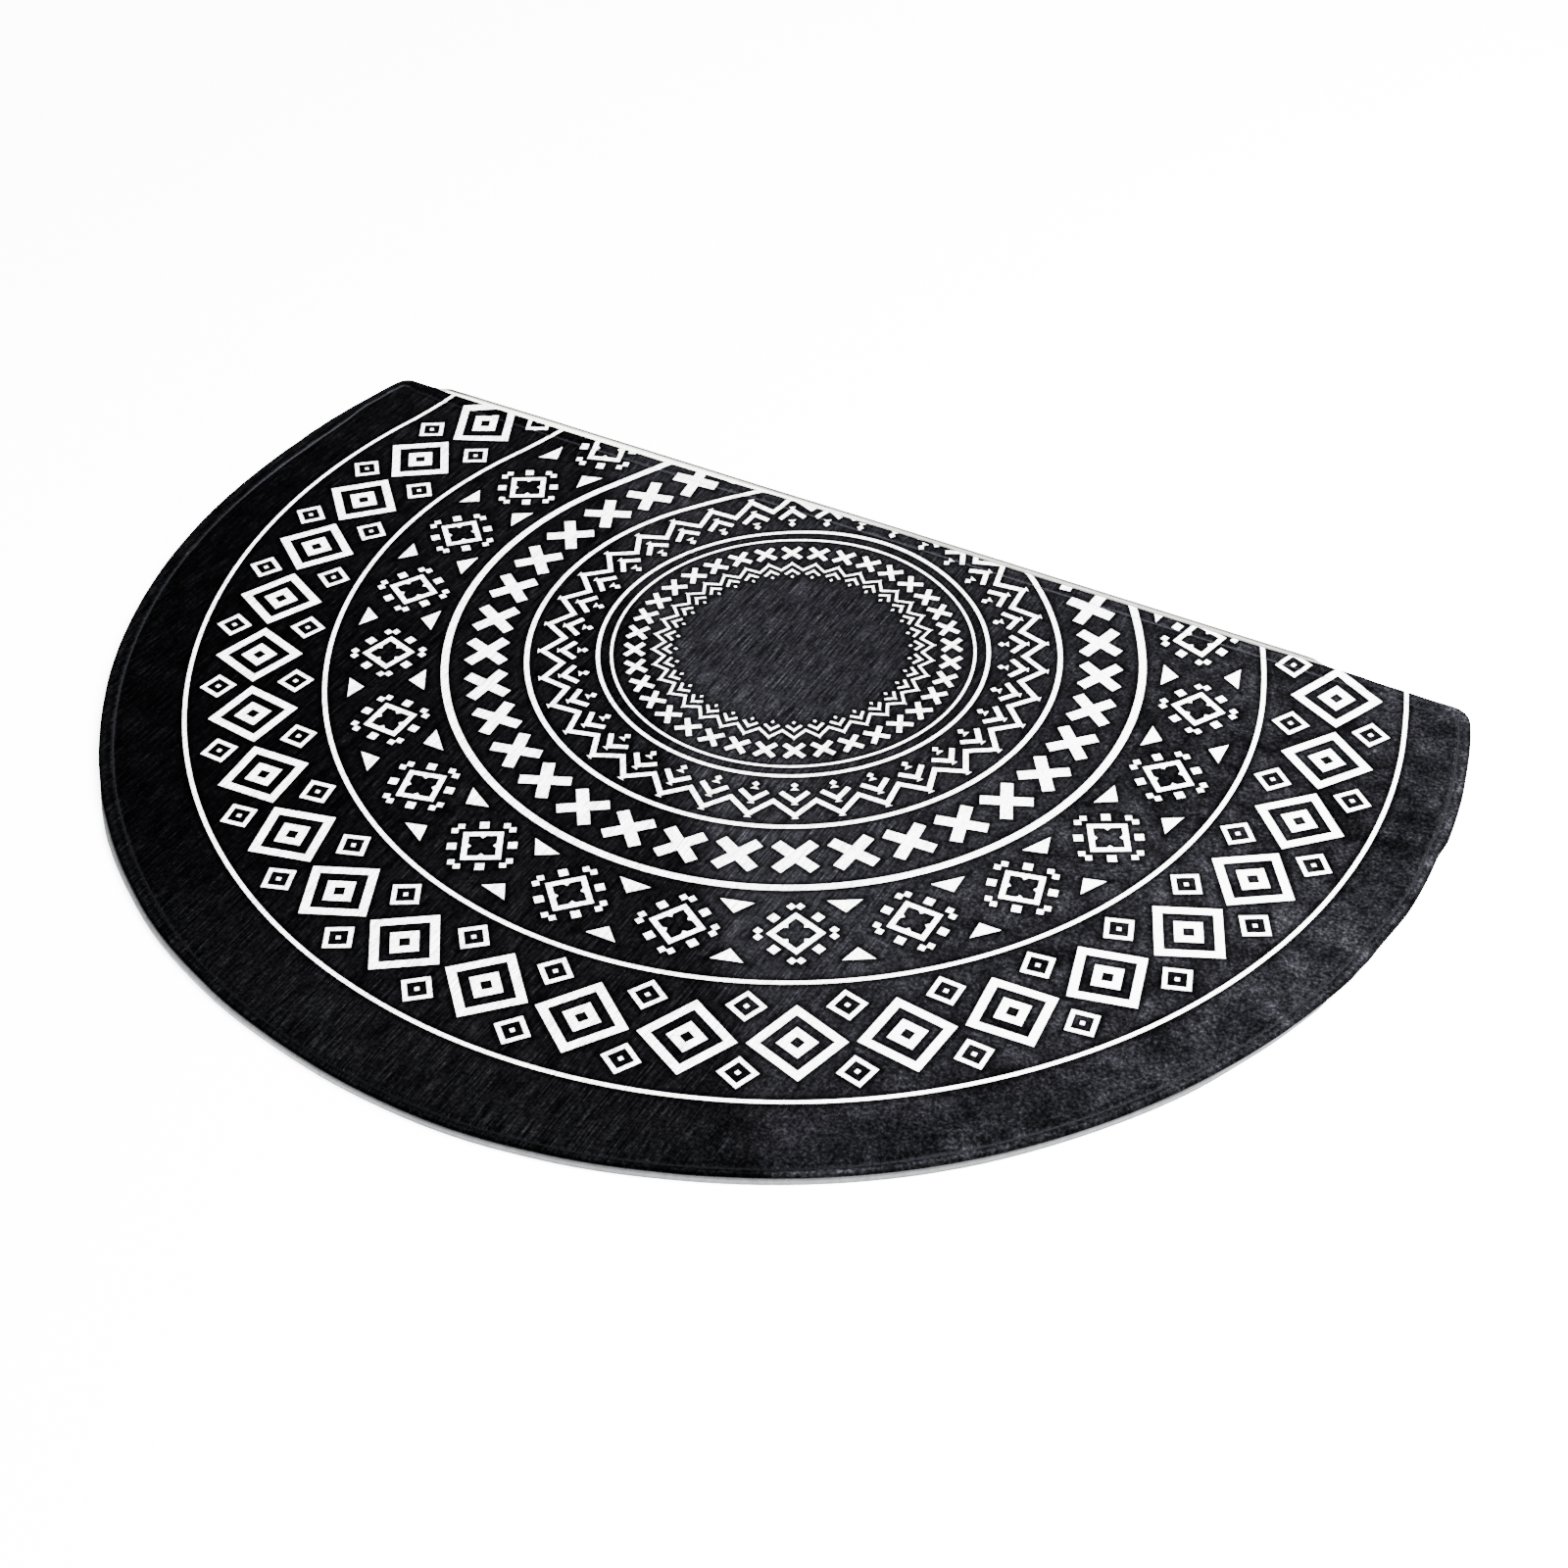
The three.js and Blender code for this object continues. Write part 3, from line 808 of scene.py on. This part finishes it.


# Short polyester pile with the print on its tips: matt, nearly black where no white is printed,
# brushed along the mat's depth in streaks and tufts. Towards the right it has a painted sheen in
# stronger patches, and there the white is painted lighter between the tufts. Single fibres are too
# fine to show, so the streaks and tufts are drawn coarser. The black is darker beside the white,
# and the white is greyer between the tufts.
pileLook = {
    "black": "#1b1b1e",
    "betweenTufts": "#89898b",
    "sheenLitBetweenTufts": "#dededf",
    "onTufts": "#f2f2f3",
    "onTuftsFrom": 0.36,
    "onTuftsTo": 0.6,
    "besideWhite": 0.32,
    "besideFrom": 0.9,
    "besideTo": 2.8,
    "roughness": 0.85,
    "specular": 0.0,
    "streakWidth": 0.75,
    "streakLength": 16.0,
    "streakNoise": {"Detail": 2.0, "Roughness": 0.6},
    "tuftSize": 1.35,
    "tuftNoise": {"Detail": 3.0, "Roughness": 0.65},
    "patchSize": 13.0,
    "patchNoise": {"Detail": 4.0, "Roughness": 0.6},
    "noiseMiddle": 0.5,
    "tuftShare": 0.4,
    "grainGain": 10.0,
    "darkGrainGain": 12.0,
    "darkTo": 0.1,
    "brightFrom": 0.35,
    "sheenGrainShare": 0.68,
    "patchGain": 0.8,
    "sheenPatchGain": 4.6,
    "bumpStrength": 0.35,
    "bumpDepth": 0.0006,
}


def makePileMaterial(look):
    material, tree = newMaterial("printedPile")
    place = addPrintPlace(tree)
    nap = addNode(tree, "ShaderNodeVectorMath", {
        0: place,
        1: (1 / look["streakWidth"], 1 / look["streakLength"], 1),
    }, operation="MULTIPLY").outputs[0]
    streak = addNode(tree, "ShaderNodeTexNoise", {
        "Vector": nap, "Scale": 1.0, **look["streakNoise"],
    }).outputs[0]
    tuft = addNode(tree, "ShaderNodeTexNoise", {
        "Vector": place, "Scale": 1 / look["tuftSize"], **look["tuftNoise"],
    }).outputs[0]
    patch = addNode(tree, "ShaderNodeTexNoise", {
        "Vector": place, "Scale": 1 / look["patchSize"], **look["patchNoise"],
    }).outputs[0]
    # Towards the right: painted sheen in stronger patches
    sheenAtRight = addNode(tree, "ShaderNodeAttribute", {}, attribute_name="pileSheenAtRight").outputs["Fac"]
    tuftShare = addNode(tree, "ShaderNodeMapRange", {0: sheenAtRight, 3: look["tuftShare"]}).outputs[0]
    grain = addNode(tree, "ShaderNodeMix", {0: tuftShare, 2: streak, 3: tuft}).outputs[0]

    # The black pile's colour is its lightness, painted sheen and shade, times a texture that
    # varies round 1
    light = addNode(tree, "ShaderNodeAttribute", {}, attribute_name="pileSheenAndShade").outputs["Fac"]
    sideGain = addNode(tree, "ShaderNodeMapRange", {
        0: light, 1: look["darkTo"], 2: look["brightFrom"], 3: look["darkGrainGain"],
        4: look["grainGain"],
    }).outputs[0]
    cloudyShare = addNode(tree, "ShaderNodeMapRange", {
        0: sheenAtRight, 3: 1.0, 4: look["sheenGrainShare"],
    }).outputs[0]
    grainGain = addNode(tree, "ShaderNodeMath", {
        0: sideGain, 1: cloudyShare,
    }, operation="MULTIPLY").outputs[0]
    offMiddle = addNode(tree, "ShaderNodeMath", {
        0: grain, 1: look["noiseMiddle"],
    }, operation="SUBTRACT").outputs[0]
    grainPart = addNode(tree, "ShaderNodeMath", {
        0: offMiddle, 1: grainGain,
    }, operation="MULTIPLY").outputs[0]
    patchGain = addNode(tree, "ShaderNodeMapRange", {
        0: sheenAtRight, 3: look["patchGain"], 4: look["sheenPatchGain"],
    }).outputs[0]
    patchOffMiddle = addNode(tree, "ShaderNodeMath", {
        0: patch, 1: look["noiseMiddle"],
    }, operation="SUBTRACT").outputs[0]
    both = addNode(tree, "ShaderNodeMath", {
        0: patchOffMiddle, 1: patchGain, 2: grainPart,
    }, operation="MULTIPLY_ADD")
    texture = addNode(tree, "ShaderNodeMath", {0: both.outputs[0]}, operation="EXPONENT")
    linearLight = addNode(tree, "ShaderNodeMath", {0: light, 1: lightPower}, operation="POWER")
    lit = addNode(tree, "ShaderNodeMath", {
        0: linearLight.outputs[0], 1: texture.outputs[0],
    }, operation="MULTIPLY")

    depth, printed = addPrinted(tree, place, printLook)
    inked = addNode(tree, "ShaderNodeMapRange", {
        0: depth, 1: -look["besideTo"], 2: -look["besideFrom"], 4: look["besideWhite"], 3: 1.0,
    }).outputs[0]
    blackLight = addNode(tree, "ShaderNodeMath", {
        0: lit.outputs[0], 1: inked,
    }, operation="MULTIPLY").outputs[0]
    black = addNode(tree, "ShaderNodeVectorMath", {
        0: linearColour(look["black"])[:3], "Scale": blackLight,
    }, operation="SCALE").outputs[0]
    # The white between the tufts is painted lighter towards the right, as painted light
    betweenTufts = addNode(tree, "ShaderNodeMix", {
        0: sheenAtRight,
        6: linearColour(look["betweenTufts"]),
        7: linearColour(look["sheenLitBetweenTufts"]),
    }, data_type="RGBA").outputs[2]
    onTufts = addNode(tree, "ShaderNodeMapRange", {
        0: grain, 1: look["onTuftsFrom"], 2: look["onTuftsTo"],
    }).outputs[0]
    white = addNode(tree, "ShaderNodeMix", {
        0: onTufts, 6: betweenTufts, 7: linearColour(look["onTufts"]),
    }, data_type="RGBA").outputs[2]
    colour = addNode(tree, "ShaderNodeMix", {
        0: printed, 6: black, 7: white,
    }, data_type="RGBA").outputs[2]
    addSurface(tree, colour, grain, look)
    return material


cloth.data.materials.append(makePileMaterial(pileLook))
print("print and pile done")

# The pale backing
backingSizes = {
    "stationSpacing": 2.2,
    "flatTop": 3.0,
    "flatTopIn": 8.0,
    "rowSteps": 3,
    "cutUnevenness": 0.1,
    "cutSize": 3.0,
    "cutSeed": 3,
}
# Rows up the cut edge: inset from the edge, height where it lies flat, height where it rolls up
backingWall = (
    (0.4, 0.0, 0.0), (0.05, 0.4, 0.4), (0.0, 1.3, 1.6), (0.1, 2.65, 3.1), (0.6, 3.0, 4.45),
)
# Rows over the roll: inset where it lies flat, distance out from the cloth, rolled height
backingRoll = (
    (1.0, 1.3, 4.6), (1.3, 0.5, 4.25), (1.6, 0.3, 3.0),
)
# The roll's outer edge is painted grey, as painted shade where it turns away, and the roll is
# paler at the left than from the middle rightwards
rollLook = {
    "edgeWidth": 3.1,
    "edgeWidthRight": 2.2,
    "edgeSoft": 1.6,
    "paleTo": -80.0,
    "greyFrom": 20.0,
    "grey": 0.3,
}
# The cut wall is painted paler at the left, as painted light
wallLook = {
    "paleTo": -60.0,
    "evenFrom": 30.0,
    "pale": 1.6,
}


# Puts more rows between the rows, on smooth curves through them
def refineRows(rows, steps):
    rows = np.array(rows)
    padded = np.concatenate([rows[:1], rows, rows[-1:]])
    fine = []
    for place in range(len(rows) - 1):
        before, start, end, after = padded[place:place + 4]
        for step in range(steps):
            share = step / steps
            fine.append(0.5 * (
                2 * start + (end - before) * share
                + (2 * before - 5 * start + 4 * end - after) * share ** 2
                + (3 * start - before - 3 * end + after) * share ** 3
            ))
    fine.append(rows[-1])
    return fine


def makeBacking(sizes):
    stations = makeStations(sizes["stationSpacing"])
    backingIn = stations["backingIn"]
    rise = stations["rise"]
    insets = []
    heights = []
    for inset, flatHeight, rolledHeight in backingWall:
        insets.append(backingIn + inset)
        heights.append(flatHeight + (rolledHeight - flatHeight) * rise)
    for flatIn, offCloth, rolledHeight in backingRoll:
        flatInset = backingIn + flatIn
        insets.append(flatInset + (stations["setBack"] - offCloth - flatInset) * rise)
        heights.append(sizes["flatTop"] + (rolledHeight - sizes["flatTop"]) * rise)
    rough = uneven(stations["point"], sizes["cutSize"], sizes["cutSeed"])
    rough = sizes["cutUnevenness"] * rough
    insets = refineRows(insets, sizes["rowSteps"])
    heights = refineRows(heights, sizes["rowSteps"])
    loops = [loopOf(stations, inset + rough, height) for inset, height in zip(insets, heights)]
    fromLeft = stations["point"][:, 0] - rollLook["paleTo"]
    greyed = eased(fromLeft / (rollLook["greyFrom"] - rollLook["paleTo"]))
    # The painted shade along the roll's outer edge is narrower towards the right
    widening = rollLook["edgeWidthRight"] - rollLook["edgeWidth"]
    edgeWidth = rollLook["edgeWidth"] + widening * greyed
    outer = [
        eased((edgeWidth - (inset - backingIn)) / rollLook["edgeSoft"] + 0.5) for inset in insets
    ]
    loops.append(loopOf(stations, backingIn + sizes["flatTopIn"], sizes["flatTop"]))
    outer.append(np.zeros(len(rise)))
    backing = skinLoops("feltBacking", loops, (0, 0, 0), (0, 0, sizes["flatTop"]))
    markLoops(backing, "rolledEdge", [rise for _ in loops], 0, 0)
    markLoops(backing, "outerEdgeShade", outer, 0, 0)
    # Painted light on the cut wall at the left; the roll greys from the middle rightwards
    fromLeft = stations["point"][:, 0] - wallLook["paleTo"]
    evened = eased(fromLeft / (wallLook["evenFrom"] - wallLook["paleTo"]))
    wallLight = wallLook["pale"] + (1 - wallLook["pale"]) * evened
    rollLight = 1 + (rollLook["grey"] - 1) * greyed
    feltLight = wallLight + (rollLight - wallLight) * rise
    markLoops(backing, "feltLight", [feltLight for _ in loops], 1, 1)
    return backing


backing = makeBacking(backingSizes)

# Needle-punched polyester felt, cut with a blade: matt, its fibres lying every way and drawn
# coarser than real ones, to show. The cut wall is the same pale felt as the roll, painted a dark
# grey as painted shade so that it looks mid grey beside the glowing floor, with more painted shade
# along the floor and under the hem.
feltLook = {
    "cut": "#424344",
    "cutLit": "#545556",
    "roll": "#c9c8bf",
    "rollLit": "#efeee6",
    "rollEdgeShade": "#1c1c1b",
    # The painted shadow along the floor, and the painted shade under the hem
    "low": "#27282a",
    "lowFrom": 0.2,
    "lowTo": 1.4,
    "underHemShade": 0.4,
    "underHemFrom": 2.1,
    "underHemTo": 3.0,
    "roughness": 0.95,
    "specular": 0.0,
    "fibreSize": 0.35,
    "fibreNoise": {"Detail": 2.0, "Distortion": 0.8},
    "clumpSize": 2.4,
    "clumpNoise": {"Detail": 3.0},
    "clumpShare": 0.5,
    "litFrom": 0.36,
    "litTo": 0.64,
    "bumpStrength": 0.6,
    "bumpDepth": 0.0004,
}


def makeFeltMaterial(look):
    material, tree = newMaterial("backingFelt")
    coordinates = addNode(tree, "ShaderNodeTexCoord", {})
    place = addNode(tree, "ShaderNodeVectorMath", {
        0: coordinates.outputs["Object"],
        "Scale": 1 / mm,
    }, operation="SCALE").outputs[0]
    fibre = addNode(tree, "ShaderNodeTexNoise", {
        "Vector": place, "Scale": 1 / look["fibreSize"], **look["fibreNoise"],
    }).outputs[0]
    clump = addNode(tree, "ShaderNodeTexNoise", {
        "Vector": place, "Scale": 1 / look["clumpSize"], **look["clumpNoise"],
    }).outputs[0]
    texture = addNode(tree, "ShaderNodeMix", {
        0: look["clumpShare"], 2: fibre, 3: clump,
    }).outputs[0]
    lit = addNode(tree, "ShaderNodeMapRange", {
        0: texture, 1: look["litFrom"], 2: look["litTo"],
    }).outputs[0]

    # The flat edge's cut wall, in painted shade, with a painted shadow along the floor and painted
    # shade under the hem
    wall = addNode(tree, "ShaderNodeMix", {
        0: lit, 6: linearColour(look["cut"]), 7: linearColour(look["cutLit"]),
    }, data_type="RGBA").outputs[2]
    height = addNode(tree, "ShaderNodeSeparateXYZ", {0: place}).outputs[2]
    aboveFloor = addNode(tree, "ShaderNodeMapRange", {
        0: height, 1: look["lowFrom"], 2: look["lowTo"],
    }, interpolation_type="SMOOTHSTEP").outputs[0]
    wall = addNode(tree, "ShaderNodeMix", {
        0: aboveFloor, 6: linearColour(look["low"]), 7: wall,
    }, data_type="RGBA").outputs[2]
    underHemShade = addNode(tree, "ShaderNodeMapRange", {
        0: height, 1: look["underHemFrom"], 2: look["underHemTo"], 3: 1.0, 4: look["underHemShade"],
    }, interpolation_type="SMOOTHSTEP").outputs[0]
    wall = addNode(tree, "ShaderNodeVectorMath", {
        0: wall, "Scale": underHemShade,
    }, operation="SCALE").outputs[0]

    # The roll along the straight edge, with painted shade on its outer edge
    roll = addNode(tree, "ShaderNodeMix", {
        0: lit, 6: linearColour(look["roll"]), 7: linearColour(look["rollLit"]),
    }, data_type="RGBA").outputs[2]
    rolled = addNode(tree, "ShaderNodeAttribute", {}, attribute_name="rolledEdge").outputs["Fac"]
    felt = addNode(tree, "ShaderNodeMix", {0: rolled, 6: wall, 7: roll}, data_type="RGBA")
    light = addNode(tree, "ShaderNodeAttribute", {}, attribute_name="feltLight").outputs["Fac"]
    felt = addNode(tree, "ShaderNodeVectorMath", {
        0: felt.outputs[2], "Scale": light,
    }, operation="SCALE").outputs[0]
    # Painted shade on the roll's outer edge
    outer = addNode(tree, "ShaderNodeAttribute", {}, attribute_name="outerEdgeShade").outputs["Fac"]
    onRoll = addNode(tree, "ShaderNodeMath", {0: outer, 1: rolled}, operation="MULTIPLY")
    colour = addNode(tree, "ShaderNodeMix", {
        0: onRoll.outputs[0], 6: felt, 7: linearColour(look["rollEdgeShade"]),
    }, data_type="RGBA")
    addSurface(tree, colour.outputs[2], texture, look)
    return material


backing.data.materials.append(makeFeltMaterial(feltLook))
print("backing done")

# The topstitching, which lies in the groove of the hem
stitchSizes = {
    "Pitch": 3.1 * mm,
    "Length": 3.9 * mm,
    "Width": 1.1 * mm,
    "Height": 0.55 * mm,
    "Unevenness": 0.12,
    "Seed": 5,
}
# The height of the stitches' middles, in millimetres
stitchHeight = 4.68
# One stitch before it is stretched to its sizes
beadSizes = {
    "Segments": 8,
    "Rings": 6,
    "Radius": 0.5,
}

# Spun polyester sewing thread, charcoal: two plies twisted, matt. It is pale where it crosses
# the white, as if the mat was printed after it was sewn.
threadLook = {
    "thread": "#1b1b1e",
    "printedThread": "#b4b4b6",
    "ply": 0.75,
    "plyLit": 1.15,
    "roughness": 0.8,
    "specular": 0.0,
    "twist": 0.55,
    "waver": 2.0,
    "bumpStrength": 0.4,
    "bumpDepth": 0.0001,
}


def makeThreadMaterial(look):
    material, tree = newMaterial("sewingThread")
    place = addPrintPlace(tree)
    ply = addNode(tree, "ShaderNodeTexWave", {
        "Vector": place, "Scale": 1 / look["twist"], "Distortion": look["waver"],
    }, bands_direction="DIAGONAL").outputs["Fac"]
    plyLight = addNode(tree, "ShaderNodeMapRange", {
        0: ply, 3: look["ply"], 4: look["plyLit"],
    }).outputs[0]
    # The thread's painted highlight where it lies across the light
    light = addNode(tree, "ShaderNodeAttribute", {}, attribute_name="threadLight").outputs["Fac"]
    linearLight = addNode(tree, "ShaderNodeMath", {0: light, 1: lightPower}, operation="POWER")
    lit = addNode(tree, "ShaderNodeMath", {
        0: linearLight.outputs[0], 1: plyLight,
    }, operation="MULTIPLY")
    thread = addNode(tree, "ShaderNodeVectorMath", {
        0: linearColour(look["thread"])[:3], "Scale": lit.outputs[0],
    }, operation="SCALE")
    colour = addNode(tree, "ShaderNodeMix", {
        0: addPrinted(tree, place, printLook)[1],
        6: thread.outputs[0],
        7: linearColour(look["printedThread"]),
    }, data_type="RGBA")
    addSurface(tree, colour.outputs[2], ply, look)
    return material


# A tree that lays one stitch after another along the path it is given
def makeStitchTree(thread):
    tree = bpy.data.node_groups.new("stitchesAlongPath", "GeometryNodeTree")
    face = tree.interface
    face.new_socket("Path", in_out="INPUT", socket_type="NodeSocketGeometry")
    for name in ("Pitch", "Length", "Width", "Height", "Unevenness"):
        face.new_socket(name, in_out="INPUT", socket_type="NodeSocketFloat")
    face.new_socket("Seed", in_out="INPUT", socket_type="NodeSocketInt")
    face.new_socket("Stitches", in_out="OUTPUT", socket_type="NodeSocketGeometry")
    given = tree.nodes.new("NodeGroupInput").outputs

    path = addNode(tree, "GeometryNodeMeshToCurve", {0: given["Path"]}).outputs[0]
    spaced = addNode(tree, "GeometryNodeResampleCurve", {
        "Curve": path, "Length": given["Pitch"],
    }, mode="LENGTH").outputs[0]
    bead = addNode(tree, "GeometryNodeMeshUVSphere", beadSizes).outputs[0]
    tangent = addNode(tree, "GeometryNodeInputTangent", {}).outputs[0]
    turned = addNode(tree, "FunctionNodeAlignRotationToVector", {
        "Vector": tangent,
    }, axis="X").outputs[0]
    least = addNode(tree, "ShaderNodeMath", {
        0: 1.0, 1: given["Unevenness"],
    }, operation="SUBTRACT").outputs[0]
    change = addNode(tree, "FunctionNodeRandomValue", {
        "Seed": given["Seed"],
        2: least,
        3: 1.0,
    }).outputs[1]
    size = addNode(tree, "ShaderNodeCombineXYZ", {
        0: given["Length"], 1: given["Width"], 2: given["Height"],
    }).outputs[0]
    changed = addNode(tree, "ShaderNodeVectorMath", {
        0: size, "Scale": change,
    }, operation="SCALE").outputs[0]
    laid = addNode(tree, "GeometryNodeInstanceOnPoints", {
        "Points": spaced, "Instance": bead, "Rotation": turned, "Scale": changed,
    }).outputs[0]
    plain = addNode(tree, "GeometryNodeRealizeInstances", {0: laid}).outputs[0]
    smooth = addNode(tree, "GeometryNodeSetShadeSmooth", {0: plain}).outputs[0]
    finished = addNode(tree, "GeometryNodeSetMaterial", {0: smooth, "Material": thread})
    addNode(tree, "NodeGroupOutput", {0: finished.outputs[0]})
    return tree


# Gives a path a tree with its sizes, and turns the result into a plain mesh
def growPiece(name, path, tree, sizes):
    piece = newObject(name, path)
    modifier = piece.modifiers.new("grow", "NODES")
    modifier.node_group = tree
    for item in tree.interface.items_tree:
        if item.in_out == "INPUT" and item.name in sizes:
            modifier[item.identifier] = sizes[item.name]
    depsgraph = bpy.context.evaluated_depsgraph_get()
    finished = bpy.data.meshes.new_from_object(piece.evaluated_get(depsgraph))
    piece.modifiers.remove(modifier)
    piece.data = finished
    return piece


def makeStitching():
    stations = makeStations(clothSizes["stationSpacing"])
    points = loopOf(stations, stations["setBack"] + stations["stitchIn"], stitchHeight) * mm
    count = len(points)
    path = bpy.data.meshes.new("stitchPath")
    path.from_pydata(points.tolist(), [(step, (step + 1) % count) for step in range(count)], [])
    attribute = path.attributes.new("threadLight", "FLOAT", "POINT")
    attribute.data.foreach_set("value", stations["threadLight"].astype(np.float32))
    tree = makeStitchTree(makeThreadMaterial(threadLook))
    return growPiece("topstitching", path, tree, stitchSizes)


stitching = makeStitching()
print("topstitching done")

# Pieces ride on the mat's one body
for piece, slotName in ((cloth, "face_cloth"), (backing, "backing"), (stitching, "face_cloth")):
    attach(piece, "root")
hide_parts("face_cloth")
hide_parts("backing")

# Floor and light
floorLook = {
    "colour": "#f6f6f7",
    "roughness": 0.9,
    "glow": 5.0,
    "side": 12.0,
}
lampLook = {
    "world": 2.2,
    "lamps": {
        "key": {"place": (1.3, 0.3, 2.0), "side": 1.6, "power": 750},
        "fill": {"place": (1.2, -1.6, 1.6), "side": 1.6, "power": 90},
    },
}


def makeFloor(look):
    half = look["side"] / 2
    mesh = bpy.data.meshes.new("floor")
    corners = [(-half, -half, 0), (half, -half, 0), (half, half, 0), (-half, half, 0)]
    mesh.from_pydata(corners, [], [(0, 1, 2, 3)])
    floor = newObject("floor", mesh)
    material, tree = newMaterial("floorPaint")
    shader = addNode(tree, "ShaderNodeBsdfPrincipled", {
        "Base Color": linearColour(look["colour"]),
        "Roughness": look["roughness"],
        "Emission Color": plainWhite,
        "Emission Strength": look["glow"],
    })
    addNode(tree, "ShaderNodeOutputMaterial", {0: shader.outputs[0]})
    mesh.materials.append(material)


def makeLight(look):
    world = bpy.data.worlds.new("studio")
    bpy.context.scene.world = world
    world.use_nodes = True
    background = world.node_tree.nodes["Background"].inputs
    background["Strength"].default_value = look["world"]
    background["Color"].default_value = plainWhite
    for name, lamp in look["lamps"].items():
        data = bpy.data.lights.new(name, "AREA")
        data.energy = lamp["power"]
        data.size = lamp["side"]
        light = newObject(name, data)
        light.location = lamp["place"]
        aim = Vector((0, 0, 0)) - light.location
        light.rotation_euler = aim.to_track_quat("-Z", "Y").to_euler()


makeFloor(floorLook)
makeLight(lampLook)
print("floor and light done")
